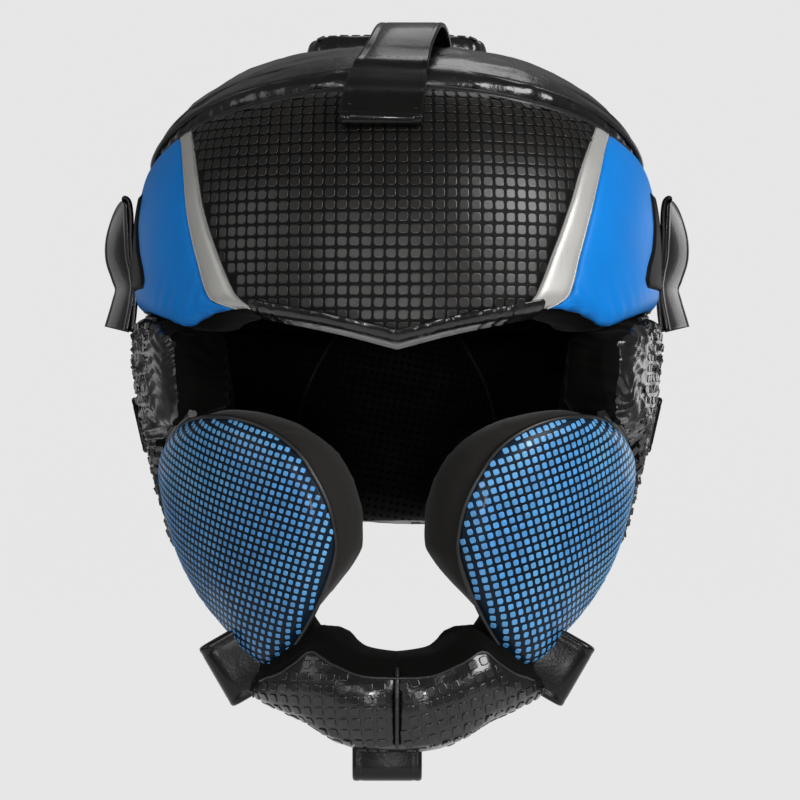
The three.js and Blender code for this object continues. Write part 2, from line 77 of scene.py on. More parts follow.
FOREHEAD = {
    "angle": (0, 10, 21, 28, 35, 41, 50, 62, 78, 92),
    "bottom": (-109, -103.5, -99, -97, -99, -103, -99.5, -96, -94.5, -94),
    "top": (-10.5, -11, -13, -15, -17, -19, -23, -29, -37, -41),
}
FOREHEAD_END = 92
FOREHEAD_ROUND = 9
TOP_ROUND = 5
# Stripe edges in degrees to either side, at shares of the forehead's height from the brow up.
STRIPE = {
    "share": (0, 0.04, 0.1, 0.3, 0.5, 0.7, 0.85, 1),
    "right_inner": (17.5, 21.3, 23.7, 27.4, 31, 35.2, 40.3, 48),
    "right_outer": (23, 28.2, 30.8, 33.4, 36.4, 40.4, 45.4, 53),
    "left_inner": (23, 26, 28.4, 32.4, 35.9, 39.3, 43.4, 50),
    "left_outer": (25.2, 30.5, 34.4, 37.7, 40.5, 43.7, 47.9, 54.5),
}
# The upper edge of the chin bar.
CHIN = {
    "angle": (0, 6, 11, 15, 18, 21, 25, 29),
    "top": (-222.5, -221.5, -217.5, -213.5, -218.6, -224.2, -229, -231.6),
}
# The seam between cheek and side pad, and the rest of the cheek's outline, as angle and level.
JAW_SEAM = ((44, -134.6), (54, -140.4), (62, -147), (66.5, -155), (68, -166), (67.6, -178), (66, -190))
CHEEK_REST = (
    (56, -207), (40, -221), (27, -229.5), (20, -219), (13.5, -200),
    (10.3, -181), (10.8, -163), (15, -145), (22.5, -134.5), (33, -130.5),
)
CHEEK_CENTRE = (38, -178)
CHEEK_ROUND = 10
CHEEK_BULGE = 4
CHEEK_SWELL = 40
BACK_BOTTOM = -95
BACK_TOP = -42.5
NAPE_STRAP = {"from": 84, "to": 276, "bottom": -149, "top": -126, "thick": 2.4, "gap": 0.75, "swell": 0.9}
PIPING_RADIUS = 0.9


# Sizes and colours that a user would change
def linear(code):
    """A colour written as six hex digits, in the linear values that sockets take."""
    shares = [int(code[i : i + 2], 16) / 255 for i in (0, 2, 4)]
    return tuple(s / 12.92 if s <= 0.04045 else ((s + 0.055) / 1.055) ** 2.4 for s in shares)


def size(label, description, millimetres):
    """A length that a user may set."""
    return FloatProperty(name=label, description=description, default=millimetres * MM, unit="LENGTH")


def colour(label, description, code):
    """A colour that a user may set."""
    return FloatVectorProperty(name=label, description=description, default=linear(code), subtype="COLOR")


class HeadgearSizes(bpy.types.PropertyGroup):
    """Sizes of the trim that a user would change."""

    forehead_pitch: size("Forehead grid", "Spacing of the tiles pressed into the forehead panel", 4.4)
    cheek_pitch: size("Cheek grid", "Spacing of the blue tiles on the cheeks", 2.9)
    pad_pitch: size("Pad grid", "Spacing of the tiles pressed into the side, back and chin leather", 4.8)
    tile_rise: size("Tile rise", "How far a pressed tile stands above its groove", 0.18)
    piping: size("Piping radius", "Radius of the piping in the seams", PIPING_RADIUS)
    stitch: size("Stitch spacing", "Distance from one stitch to the next", 3.2)


class HeadgearColours(bpy.types.PropertyGroup):
    """Colours that a user would change."""

    leather: colour("Leather", "Glossy black leather of the pads", "0c0c0d")
    tile: colour("Grid leather", "Brown-black tiles of the forehead", "191613")
    lining: colour("Lining", "Matte lining of the inside and the gussets", "1f1d1b")
    temple: colour("Temple", "Blue panels at the temples", "0a86e4")
    cheek: colour("Cheek", "Blue tiles of the cheeks", "50a2e8")
    stripe: colour("Stripe", "Silver stripes of the forehead", "c6c5c1")
    strap: colour("Strap", "Strap leather", "151413")
    floor: colour("Floor", "Floor and backdrop", "e9e9e9")


# Shapes of the head
def ramp(value, start, full):
    """A straight rise from 0 at the start to 1 where it is full; full may be the smaller number."""
    return np.clip((value - start) / (full - start), 0, 1)


def column(table, key, name, at):
    """A column's values at places along the key column, on the cubic through the rows."""
    keys = np.asarray(table[key], float)
    values = np.asarray(table[name], float)
    at = np.clip(np.asarray(at, float), keys[0], keys[-1])
    i = np.clip(np.searchsorted(keys, at), 1, len(keys) - 1)
    before = np.maximum(i - 2, 0)
    after = np.minimum(i + 1, len(keys) - 1)
    span = keys[i] - keys[i - 1]
    t = (at - keys[i - 1]) / span
    start = (values[i] - values[before]) / (keys[i] - keys[before]) * span
    end = (values[after] - values[i - 1]) / (keys[after] - keys[i - 1]) * span
    rise = values[i] - values[i - 1]
    return values[i - 1] + t * (start + t * (3 * rise - 2 * start - end + t * (start + end - 2 * rise)))


def shell_radius(angle, z):
    """The shell's distance from the upright axis at angles and levels."""
    angle, z = np.broadcast_arrays(np.asarray(angle, float), np.asarray(z, float))
    level = np.minimum(z, SHOULDER_Z)
    rise = ramp(z, SHOULDER_Z, CROWN_TOP)
    share = (1 - rise**DOME_POWER) ** (1 / DOME_POWER)
    sin, cos = np.sin(angle * DEG), np.cos(angle * DEG)
    half = column(SHELL, "z", "half", level)
    front = column(SHELL, "z", "front", level)
    rear = column(SHELL, "z", "rear", level)
    reach = np.where(cos >= 0, front, rear)
    total = np.abs(sin / half) ** SECTION_POWER + np.abs(cos / reach) ** SECTION_POWER
    return share / total ** (1 / SECTION_POWER)


def shell_point(angle, z):
    """Points of the shell at angles and levels."""
    radius = shell_radius(angle, z)
    angle = np.broadcast_to(np.asarray(angle, float), radius.shape)
    z = np.broadcast_to(np.asarray(z, float), radius.shape)
    return np.stack([radius * np.sin(angle * DEG), -radius * np.cos(angle * DEG), z], axis=-1)


def unit(vectors):
    """Vectors made one unit long."""
    return vectors / np.maximum(np.linalg.norm(vectors, axis=-1, keepdims=True), 1e-9)


def shell_normal(angle, z, step=0.05):
    """The shell's outward directions at angles and levels."""
    along = shell_point(angle + step, z) - shell_point(angle - step, z)
    up = shell_point(angle, z + step) - shell_point(angle, z - step)
    return unit(np.cross(along, up))


def on_shell(angle, z, offset=0.0):
    """Points at an offset outwards from the shell."""
    angle, z = np.broadcast_arrays(np.asarray(angle, float), np.asarray(z, float))
    offset = np.broadcast_to(np.asarray(offset, float), angle.shape)
    return shell_point(angle, z) + shell_normal(angle, z) * offset[..., None]


def polar(points):
    """The angle and level of points."""
    return np.arctan2(points[..., 0], -points[..., 1]) / DEG, points[..., 2]


def edge_dip(distance, radius):
    """How far a rounded edge lies below the face, at a distance in from the edge."""
    inward = np.clip(radius - np.asarray(distance, float), 0, radius)
    return radius - np.sqrt(radius * radius - inward * inward)


# A flat sheet wrapped round the head: across follows the shoulder's arc, up follows the front's rise.
SHEET_BOTTOM = -262
SHEET_STOP = 0.2  # the sheet ends this far below the crown's top
ARC_ANGLES = np.linspace(-180, 180, 721)
ARC_STEPS = np.linalg.norm(np.diff(shell_point(ARC_ANGLES, SHOULDER_Z), axis=0), axis=1)
ARC_ACROSS = np.concatenate([[0], np.cumsum(ARC_STEPS)])
ARC_ACROSS -= np.interp(0, ARC_ANGLES, ARC_ACROSS)
RISE_LEVELS = np.linspace(SHEET_BOTTOM, CROWN_TOP - SHEET_STOP, 800)
RISE_STEPS = np.linalg.norm(np.diff(shell_point(0, RISE_LEVELS), axis=0), axis=1)
RISE_UP = np.concatenate([[0], np.cumsum(RISE_STEPS)])


def lay(across, up):
    """The angle and level under points of the flat sheet."""
    z = np.interp(up, RISE_UP, RISE_LEVELS)
    angle = np.interp(across, ARC_ACROSS, ARC_ANGLES)
    for _ in range(4):
        narrowing = shell_radius(angle, z) / shell_radius(angle, SHOULDER_Z)
        angle = np.interp(across / narrowing, ARC_ACROSS, ARC_ANGLES)
    return angle, z


def forehead_edges(angle):
    """The levels of the forehead's lower and upper edges."""
    at = np.abs(angle)
    return column(FOREHEAD, "angle", "bottom", at), column(FOREHEAD, "angle", "top", at)


def forehead_point(angle, share, lift=0.0):
    """A point of the forehead's face at a share of its height."""
    bottom, top = forehead_edges(angle)
    along = (FOREHEAD_END - np.abs(angle)) * ARC_PER_DEGREE
    low = edge_dip(np.minimum(share * (top - bottom), along), FOREHEAD_ROUND)
    dip = np.maximum(low, edge_dip((1 - share) * (top - bottom), TOP_ROUND))
    return on_shell(angle, bottom + (top - bottom) * share, lift - dip)


def stripe_edge(name, share):
    """The angle of a stripe's edge at shares of the forehead's height."""
    return column(STRIPE, "share", name, share)


def smooth_curve(points, count, closed=False):
    """Points of the centripetal Catmull-Rom curve through the given points."""
    points = np.asarray(points, float)
    total = len(points) if closed else len(points) - 1
    around = points
    if not closed:
        around = np.concatenate([points, [2 * points[-1] - points[-2], 2 * points[0] - points[1]]])
    found = []
    for place in np.linspace(0, total, count, endpoint=not closed):
        i = min(int(place), total - 1)
        p0, p1, p2, p3 = (around[(i + k) % len(around)] for k in (-1, 0, 1, 2))
        d1, d2, d3 = (max(np.linalg.norm(b - a), 1e-9) ** 0.5 for a, b in ((p0, p1), (p1, p2), (p2, p3)))
        m1 = (p1 - p0) / d1 - (p2 - p0) / (d1 + d2) + (p2 - p1) / d2
        m2 = (p2 - p1) / d2 - (p3 - p1) / (d2 + d3) + (p3 - p2) / d3
        m1, m2, t = m1 * d2, m2 * d2, place - i
        rise = p2 - p1
        found.append(p1 + t * (m1 + t * (3 * rise - 2 * m1 - m2 + t * (m1 + m2 - 2 * rise))))
    return np.array(found)


def flat(rows):
    """Angles and levels as flat millimetres, for outlines."""
    return np.array([(angle * ARC_PER_DEGREE, z) for angle, z in rows])


CHEEK_EDGE = smooth_curve(flat(JAW_SEAM + CHEEK_REST), 136, closed=True)


def edge_distance(points, outline):
    """Distance from flat points to a closed outline, positive inside."""
    points = np.asarray(points, float)
    start, end = outline, np.roll(outline, -1, axis=0)
    side = end - start
    to = points[:, None, :] - start[None]
    t = np.clip((to * side).sum(-1) / np.maximum((side * side).sum(-1), 1e-9), 0, 1)
    away = np.linalg.norm(to - t[..., None] * side, axis=-1).min(axis=1)
    crossing = (start[:, 1] > points[:, None, 1]) != (end[:, 1] > points[:, None, 1])
    rise = np.where(side[:, 1] == 0, 1e-9, side[:, 1])
    reach = start[:, 0] + (points[:, None, 1] - start[:, 1]) * side[:, 0] / rise
    inside = (crossing & (points[:, None, 0] < reach)).sum(axis=1) % 2 == 1
    return np.where(inside, away, -away)


def cheek_face(distance):
    """How far a cheek's face lies above the shell, at distances in from its edge."""
    swell = 1 - np.clip(1 - distance / CHEEK_SWELL, 0, 1) ** 2
    return CHEEK_BULGE * swell - edge_dip(distance, CHEEK_ROUND)


SCATTER = np.array([12.9898, 78.233, 37.719])  # mixes the whole numbers of a lattice corner into one
SCATTER_SCALE = 43758.5453
SEED_SHIFT = 7.31


def noise(points, grain, seed=0):
    """Smooth noise from -1 to 1 at points in millimetres, with features of about the grain's size."""
    cell = points / grain + seed * SEED_SHIFT
    base = np.floor(cell)
    part = cell - base
    part = part * part * (3 - 2 * part)
    total = np.zeros(len(points))
    for corner in itertools.product((0, 1), repeat=3):
        mixed = np.sin((base + corner) @ SCATTER) * SCATTER_SCALE
        weight = np.prod(np.where(corner, part, 1 - part), axis=1)
        total += weight * ((mixed - np.floor(mixed)) * 2 - 1)
    return total


def ridges(points, grain, seed):
    """Noise as sharp ridges between round hollows, from -1 to 1."""
    return 1 - 2 * np.abs(noise(points, grain, seed))


# Node trees written as expressions
class Socket:
    """A node's output; arithmetic on it adds Math nodes."""

    def __init__(self, graph, link):
        self.graph = graph
        self.link = link

    def math(self, operation, *values):
        return self.graph.node("ShaderNodeMath", {"operation": operation}, dict(enumerate(values)))

    def __add__(self, other):
        return self.math("ADD", self, other)

    def __sub__(self, other):
        return self.math("SUBTRACT", self, other)

    def __rsub__(self, other):
        return self.math("SUBTRACT", other, self)

    def __mul__(self, other):
        return self.math("MULTIPLY", self, other)

    __radd__ = __add__
    __rmul__ = __mul__


class Graph:
    """A node tree, and the few nodes that the finishes share."""

    def __init__(self, tree):
        self.tree = tree
        tree.nodes.clear()

    def node(self, kind, settings=None, values=None, output=0):
        """Adds a node with its settings and the values or links of its sockets."""
        made = self.tree.nodes.new(kind)
        for name, value in (settings or {}).items():
            setattr(made, name, value)
        for name, value in (values or {}).items():
            if isinstance(value, Socket):
                self.tree.links.new(value.link, made.inputs[name])
            else:
                made.inputs[name].default_value = value
        return Socket(self, made.outputs[output]) if made.outputs else made

    def noise(self, place, scale, detail=2.0, distortion=0.0):
        values = {"Vector": place, "Scale": scale, "Detail": detail, "Distortion": distortion}
        return self.node("ShaderNodeTexNoise", {}, values)

    def cells(self, place, scale):
        return self.node("ShaderNodeTexVoronoi", {}, {"Vector": place, "Scale": scale})

    def stretch(self, place, scale, turn=(0, 0, 0)):
        return self.node("ShaderNodeMapping", {}, {"Vector": place, "Scale": scale, "Rotation": turn})

    def step(self, value, low, high):
        """A smooth step from 0 at low to 1 at high."""
        values = {"Value": value, "From Min": low, "From Max": high}
        return self.node("ShaderNodeMapRange", {"interpolation_type": "SMOOTHSTEP"}, values)

    def mix(self, factor, first, second):
        return self.node("ShaderNodeMix", {"data_type": "RGBA"}, {0: factor, 6: first, 7: second}, 2)

    def tints(self, factor, tint, first, second):
        """A colour that goes from one shade of a tint to another."""
        return self.mix(factor, shade(tint, first), shade(tint, second))

    def bump(self, height, strength, millimetres):
        values = {"Height": height, "Strength": strength, "Distance": millimetres * MM}
        return self.node("ShaderNodeBump", {}, values)


def shade(tint, factor=1.0):
    """A colour property as a socket's value, made darker or lighter."""
    return (*[min(channel * factor, 1.0) for channel in tint], 1.0)


VIEWPORT_GREY = (0.1, 0.1, 0.1)


def surface(name, paint, constants=None):
    """A material whose varying sockets come from paint(graph, place)."""
    material = bpy.data.materials.new(name)
    material.use_nodes = True
    graph = Graph(material.node_tree)
    place = graph.node("ShaderNodeTexCoord", output="Object")
    shader = graph.node("ShaderNodeBsdfPrincipled", {}, {**(constants or {}), **paint(graph, place)})
    graph.node("ShaderNodeOutputMaterial", {}, {"Surface": shader})
    material.diffuse_color = shade(VIEWPORT_GREY)
    return material


def gloss_leather(colours):
    """Wet-look black leather with fine creases."""

    def paint(g, place):
        patch = g.noise(place, 45)
        crease = g.noise(place, 170, 4, 0.8)
        grain = g.cells(place, 900)
        return {
            "Base Color": g.tints(patch, colours.leather, 0.6, 1.7),
            "Roughness": 0.17 + 0.18 * patch,
            "Normal": g.bump(crease + 0.2 * grain, 0.4, 0.6),
        }

    return surface("gloss_leather", paint, {"Coat Weight": 0.35, "Coat Roughness": 0.12})


def grid_leather(colours):
    """Pressed tiles of brown-black leather with a soft sheen."""

    def paint(g, place):
        patch = g.noise(place, 35)
        grain = g.noise(place, 1400, 3)
        return {
            "Base Color": g.tints(patch, colours.tile, 0.65, 1.2),
            "Roughness": 0.3 + 0.12 * patch,
            "Normal": g.bump(grain, 0.25, 0.12),
        }

    return surface("grid_leather", paint, {"Coat Weight": 0.08, "Coat Roughness": 0.3})


def shaded_groove_leather(colours):
    """Black leather between pressed tiles, painted darker than the pads as shade in the grooves."""

    def paint(g, place):
        patch = g.noise(place, 60)
        return {
            # the leather's black at a third to three quarters: painted shade in the grooves
            "Base Color": g.tints(patch, colours.leather, 0.35, 0.75),
            "Roughness": 0.5 + 0.15 * patch,
            "Normal": g.bump(g.noise(place, 1100, 3), 0.3, 0.15),
        }

    return surface("shaded_groove_leather", paint, {"Specular IOR Level": 0.15})


def gloss_tile(colours):
    """Pressed tiles of the glossy pads."""

    def paint(g, place):
        patch = g.noise(place, 70)
        grain = g.noise(place, 1200, 3)
        return {
            "Base Color": g.tints(patch, colours.leather, 0.7, 2.2),
            "Roughness": 0.16 + 0.2 * patch,
            "Normal": g.bump(grain, 0.25, 0.15),
        }

    return surface("gloss_tile", paint, {"Coat Weight": 0.4, "Coat Roughness": 0.12})


def matte_lining(colours, name="matte_lining", depth=1.0):
    """Brushed lining of the gussets."""

    def paint(g, place):
        patch = g.noise(place, 40)
        nap = g.noise(place, 1300, 4)
        return {
            # depth below 1 paints the lining darker, as shade inside the headgear
            "Base Color": g.tints(patch, colours.lining, 0.7 * depth, 1.3 * depth),
            "Roughness": 0.68 + 0.2 * nap,
            "Normal": g.bump(nap, 0.5, 0.25),
        }

    nap_light = {"Sheen Weight": 0.1 * depth, "Sheen Roughness": 0.5, "Specular IOR Level": 0.22 * depth}
    return surface(name, paint, nap_light)


def shaded_inner_lining(colours):
    """The lining that lies against the head, painted darker than the gussets' lining as shade inside the
    headgear.
    """
    return matte_lining(colours, "shaded_inner_lining", 0.22)


def mesh_lining(colours, pitch=4.6):
    """Spacer mesh inside the back: rows of small dimples, painted dark as shade inside the back and darker
    still in each dimple as shade in its hollow.
    """

    def paint(g, place):
        turned = g.stretch(place, (2 * math.pi / (pitch * MM),) * 3, (0, 0.6, 0))
        x = g.node("ShaderNodeSeparateXYZ", {}, {"Vector": turned}, "X")
        z = g.node("ShaderNodeSeparateXYZ", {}, {"Vector": turned}, "Z")
        waves = x.math("SINE", x) * z.math("SINE", z)
        dimple = g.step(waves, 0.25, 0.8)
        return {
            # a fifth of the lining's colour, and a twentieth in the dimples: painted shade inside the back
            # and in the hollows
            "Base Color": g.tints(dimple, colours.lining, 0.2, 0.05),
            "Roughness": 0.55 + 0.3 * dimple,
            "Normal": g.bump(1 - dimple, 0.9, 0.6),
        }

    return surface("mesh_lining", paint, {"Specular IOR Level": 0.06})


def temple_leather(colours):
    """Satin blue panels."""

    def paint(g, place):
        patch = g.noise(place, 30)
        crease = g.noise(g.stretch(place, (1, 1, 0.35)), 120, 3, 0.5)
        grain = g.cells(place, 1100)
        return {
            "Base Color": g.tints(patch, colours.temple, 0.82, 1.18),
            "Roughness": 0.4 + 0.12 * patch,
            "Normal": g.bump(0.5 * crease + 0.15 * grain, 0.35, 0.5),
        }

    return surface("temple_leather", paint, {"Specular IOR Level": 0.18})


def silver_leather(colours):
    """Satin silver stripes with a fine slanted brush."""

    def paint(g, place):
        patch = g.noise(place, 50)
        brush = g.noise(g.stretch(place, (1, 1, 0.15), (0, 0.5, 0)), 900, 3)
        return {
            "Base Color": g.tints(patch, colours.stripe, 0.8, 1.12),
            "Roughness": 0.36 + 0.16 * brush,
            "Normal": g.bump(brush, 0.3, 0.15),
        }

    return surface("silver_leather", paint, {"Metallic": 0.35})


def cheek_net(colours):
    """Black net between the blue tiles, under a clear film."""

    def paint(g, place):
        patch = g.noise(place, 60)
        ripple = g.noise(place, 90, 3, 0.4)
        return {
            "Base Color": g.mix(patch, shade(colours.leather, 0.6), shade(colours.cheek, 0.06)),
            "Roughness": 0.34 + 0.14 * patch,
            "Normal": g.bump(ripple, 0.35, 0.8),
        }

    gloss = {"Specular IOR Level": 0.15, "Coat Weight": 0.06, "Coat Roughness": 0.1}
    return surface("cheek_net", paint, gloss)


def cheek_tile(colours):
    """Blue tiles of the cheeks, a little different from one to the next, with broad paler patches that are
    partly random tone and partly painted sheen.
    """

    def paint(g, place):
        patch = g.noise(place, 300, 1)
        slow = g.noise(place, 28, 2)
        deep = g.tints(g.step(patch, 0.3, 0.7), colours.cheek, 0.72, 1.1)
        pale_sheen = shade((colours.cheek[0] * 1.7, colours.cheek[1] * 1.25, colours.cheek[2]))
        return {
            # broad patches of a paler, greyer blue: partly random tone, partly painted sheen
            "Base Color": g.mix(g.step(slow, 0.4, 0.75), deep, pale_sheen),
            "Roughness": 0.32 + 0.2 * slow,
            "Normal": g.bump(g.noise(place, 120, 3), 0.4, 0.6),
        }

    return surface("cheek_tile", paint, {"Coat Weight": 0.5, "Coat Roughness": 0.06})


def strap_leather(colours):
    """Strap leather with a fine pebble and a worn sheen."""

    def paint(g, place):
        patch = g.noise(place, 70)
        pebble = g.cells(place, 800)
        crease = g.noise(place, 150, 3)
        return {
            "Base Color": g.tints(patch, colours.strap, 0.35, 0.9),
            "Roughness": 0.2 + 0.16 * patch,
            "Normal": g.bump(0.3 * pebble + crease, 0.3, 0.3),
        }

    gloss = {"Specular IOR Level": 0.2, "Coat Weight": 0.3, "Coat Roughness": 0.1}
    return surface("strap_leather", paint, gloss)


def seam_thread(colours):
    """Waxed thread."""

    def paint(g, place):
        twist = g.noise(place, 1800, 2)
        return {
            "Base Color": g.tints(twist, colours.strap, 1.2, 4.0),
            "Roughness": 0.45 + 0.2 * twist,
            "Normal": g.bump(twist, 0.5, 0.1),
        }

    return surface("seam_thread", paint)


def piping_leather(colours):
    """Piping in the seams, a little paler than the pads in patches."""

    def paint(g, place):
        pale_patch = g.noise(place, 120, 3)
        return {
            "Base Color": g.tints(pale_patch, colours.leather, 0.9, 4.5),
            "Roughness": 0.3 + 0.2 * pale_patch,
            "Normal": g.bump(g.noise(place, 900, 3), 0.35, 0.2),
        }

    return surface("piping_leather", paint, {"Coat Weight": 0.2, "Coat Roughness": 0.25})


def pale_floor(colours):
    """Seamless paper of the floor and backdrop."""

    def paint(g, place):
        fibre = g.noise(place, 300, 3)
        return {
            "Base Color": g.tints(fibre, colours.floor, 0.02, 0.03),
            "Roughness": 0.8 + 0.1 * fibre,
        }

    glow = {"Emission Color": shade(colours.floor), "Emission Strength": 0.97, "Specular IOR Level": 0.0}
    return surface("pale_floor", paint, glow)


FINISHES = {
    maker.__name__: maker
    for maker in (
        gloss_leather, grid_leather, shaded_groove_leather, gloss_tile, matte_lining,
        shaded_inner_lining, mesh_lining, temple_leather, silver_leather, cheek_net,
        cheek_tile, strap_leather, seam_thread, piping_leather, pale_floor,
    )
}


def finish(name):
    """The named material, made on its first use."""
    made = bpy.data.materials.get(name)
    return made or FINISHES[name](bpy.context.scene.headgear_colours)


# Meshes
def link(name, data):
    """Puts a mesh, a light or a camera into the scene."""
    piece = bpy.data.objects.new(name, data)
    bpy.context.scene.collection.objects.link(piece)
    return piece


def weld(mesh, recalculate=True):
    """Merges doubles, drops collapsed faces and points the faces outwards."""
    work = bmesh.new()
    work.from_mesh(mesh)
    bmesh.ops.remove_doubles(work, verts=work.verts, dist=1e-6)
    bmesh.ops.dissolve_degenerate(work, dist=1e-7, edges=work.edges)
    if recalculate:
        bmesh.ops.recalc_face_normals(work, faces=work.faces)
    work.to_mesh(mesh)
    work.free()


def dress(mesh, finishes, choice=None):
    """Gives a mesh its finishes, and each face its choice among them."""
    mesh.materials.clear()
    for name in finishes:
        mesh.materials.append(finish(name))
    if choice is not None:
        mesh.polygons.foreach_set("material_index", np.asarray(choice, np.int32))
    mesh.polygons.foreach_set("use_smooth", np.ones(len(mesh.polygons), bool))
    mesh.update()


def mesh_piece(name, points, faces, material):
    """A closed piece from points in millimetres."""
    mesh = bpy.data.meshes.new(name)
    mesh.from_pydata((np.asarray(points) * MM).tolist(), [], faces)
    weld(mesh)
    dress(mesh, [material])
    return link(name, mesh)


def grid_faces(rows, columns, start=0, wrap=False):
    """Faces over a grid of points counted row by row; wrap joins each row's ends."""
    faces = []
    for r, c in itertools.product(range(rows - 1), range(columns if wrap else columns - 1)):
        row = start + r * columns
        here, beside = row + c, row + (c + 1) % columns
        faces.append((here, beside, beside + columns, here + columns))
    return faces


def slab(name, outer, inner, material, wrap=False):
    """A thin closed body between two grids of points; wrap joins each row's ends."""
    rows, columns = outer.shape[:2]
    total = rows * columns
    faces = grid_faces(rows, columns, 0, wrap) + grid_faces(rows, columns, total, wrap)
    rim = [[r * columns + c for c in range(columns)] for r in (0, rows - 1)]
    if not wrap:
        rim += [[r * columns + c for r in range(rows)] for c in (0, columns - 1)]
    for line in rim:
        ends = line + line[:1] if wrap else line
        faces += [(a, b, b + total, a + total) for a, b in zip(ends, ends[1:])]
    points = np.concatenate([outer.reshape(-1, 3), inner.reshape(-1, 3)])
    return mesh_piece(name, points, faces, material)


def mirrored(points):
    """Points of the right side, on the left."""
    return np.asarray(points) * np.array([-1, 1, 1])


def coordinates(mesh):
    """A mesh's points, in millimetres."""
    flat_list = np.empty(len(mesh.vertices) * 3)
    mesh.vertices.foreach_get("co", flat_list)
    return flat_list.reshape(-1, 3) / MM


def move_points(mesh, points):
    """Puts a mesh's points at places in millimetres."""
    mesh.vertices.foreach_set("co", (points * MM).ravel())
    mesh.update()


def point_normals(mesh):
    """Outward directions at a mesh's points."""
    normals = np.empty(len(mesh.vertices) * 3)
    mesh.vertices.foreach_get("normal", normals)
    return normals.reshape(-1, 3)


def face_frames(mesh):
    """Centres, in millimetres, and normals of a mesh's faces."""
    centres = np.empty(len(mesh.polygons) * 3)
    normals = np.empty(len(mesh.polygons) * 3)
    mesh.polygons.foreach_get("center", centres)
    mesh.polygons.foreach_get("normal", normals)
    return centres.reshape(-1, 3) / MM, normals.reshape(-1, 3)


def bake(piece):
    """Turns a piece's modifiers into its plain mesh."""
    depsgraph = bpy.context.evaluated_depsgraph_get()
    mesh = bpy.data.meshes.new_from_object(piece.evaluated_get(depsgraph), depsgraph=depsgraph)
    old = piece.data
    piece.modifiers.clear()
    piece.data = mesh
    bpy.data.meshes.remove(old)


def discard(piece):
    """Removes a helper object and its mesh."""
    mesh = piece.data
    bpy.data.objects.remove(piece)
    bpy.data.meshes.remove(mesh)


def absorb(piece, part):
    """Moves a part's faces into a piece, with the part's materials after the piece's own."""
    shift = len(piece.data.materials)
    for material in part.data.materials:
        piece.data.materials.append(material)
    choice = np.empty(len(part.data.polygons), np.int32)
    part.data.polygons.foreach_get("material_index", choice)
    part.data.polygons.foreach_set("material_index", choice + shift)
    work = bmesh.new()
    work.from_mesh(piece.data)
    work.from_mesh(part.data)
    work.to_mesh(piece.data)
    work.free()
    discard(part)


def declare(piece, slot, *nodes, fill=None):
    """Attaches a piece to the root body and hides the solids that it replaces."""
    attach(piece, "root")
    if nodes:
        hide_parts(*nodes)


# Geometry Nodes for what repeats or follows a path
def node_tree(name, inputs):
    """An empty tree with named inputs: its graph and a function that reads an input."""
    tree = bpy.data.node_groups.new(name, "GeometryNodeTree")
    for label, kind in {"Geometry": "Geometry", **inputs}.items():
        tree.interface.new_socket(label, in_out="INPUT", socket_type=f"NodeSocket{kind}")
    tree.interface.new_socket("Geometry", in_out="OUTPUT", socket_type="NodeSocketGeometry")
    graph = Graph(tree)
    return graph, lambda label: graph.node("NodeGroupInput", output=label)


def end_tree(graph, geometry, material):
    """Ends a tree in real, smooth faces with their material."""
    real = graph.node("GeometryNodeRealizeInstances", {}, {"Geometry": geometry})
    smooth = graph.node("GeometryNodeSetShadeSmooth", {}, {0: real})
    done = graph.node("GeometryNodeSetMaterial", {}, {"Geometry": smooth, "Material": material})
    graph.node("NodeGroupOutput", {}, {"Geometry": done})
    return graph.tree


TILE_SIDES = 12
TILE_RINGS = ((0.5, -0.5), (0.485, 0.3), (0.445, 0.5), (0.36, 0.5))  # half width and height


def tile_shape():
    """A tile one unit wide and high: a rounded square with a flat top and a soft rim."""
    turns = (np.arange(TILE_SIDES) + 0.5) * 360 / TILE_SIDES * DEG
    around = np.stack([np.cos(turns), np.sin(turns)], axis=1)
    square = np.sign(around) * np.abs(around) ** 0.5
    rings = [np.column_stack([square * half, np.full(TILE_SIDES, height)]) for half, height in TILE_RINGS]
    last = TILE_SIDES * (len(TILE_RINGS) - 1)
    faces = grid_faces(len(TILE_RINGS), TILE_SIDES, 0, wrap=True)
    faces += [tuple(reversed(range(TILE_SIDES))), tuple(range(last, last + TILE_SIDES))]
    mesh = bpy.data.meshes.new("tile")
    mesh.from_pydata(np.concatenate(rings).tolist(), [], faces)
    return link("tile", mesh)


def tile_tree():
    """Copies of a tile on points that carry their outward and along directions."""
    inputs = {"Tile": "Object", "Width": "Float", "Height": "Float", "Material": "Material"}
    graph, read = node_tree("pressed_tiles", inputs)
    vector = {"data_type": "FLOAT_VECTOR"}
    out = graph.node("GeometryNodeInputNamedAttribute", vector, {"Name": "out"})
    along = graph.node("GeometryNodeInputNamedAttribute", vector, {"Name": "along"})
    upright = graph.node("FunctionNodeAlignRotationToVector", {"axis": "Z"}, {"Vector": out})
    turned = {"Rotation": upright, "Vector": along}
    facing = graph.node("FunctionNodeAlignRotationToVector", {"axis": "X", "pivot_axis": "Z"}, turned)
    width = read("Width")
    scale = graph.node("ShaderNodeCombineXYZ", {}, {"X": width, "Y": width, "Z": read("Height")})
    tile = graph.node("GeometryNodeObjectInfo", {}, {"Object": read("Tile")}, "Geometry")
    values = {"Points": read("Geometry"), "Instance": tile, "Rotation": facing, "Scale": scale}
    tiles = graph.node("GeometryNodeInstanceOnPoints", {}, values)
    return end_tree(graph, tiles, read("Material"))


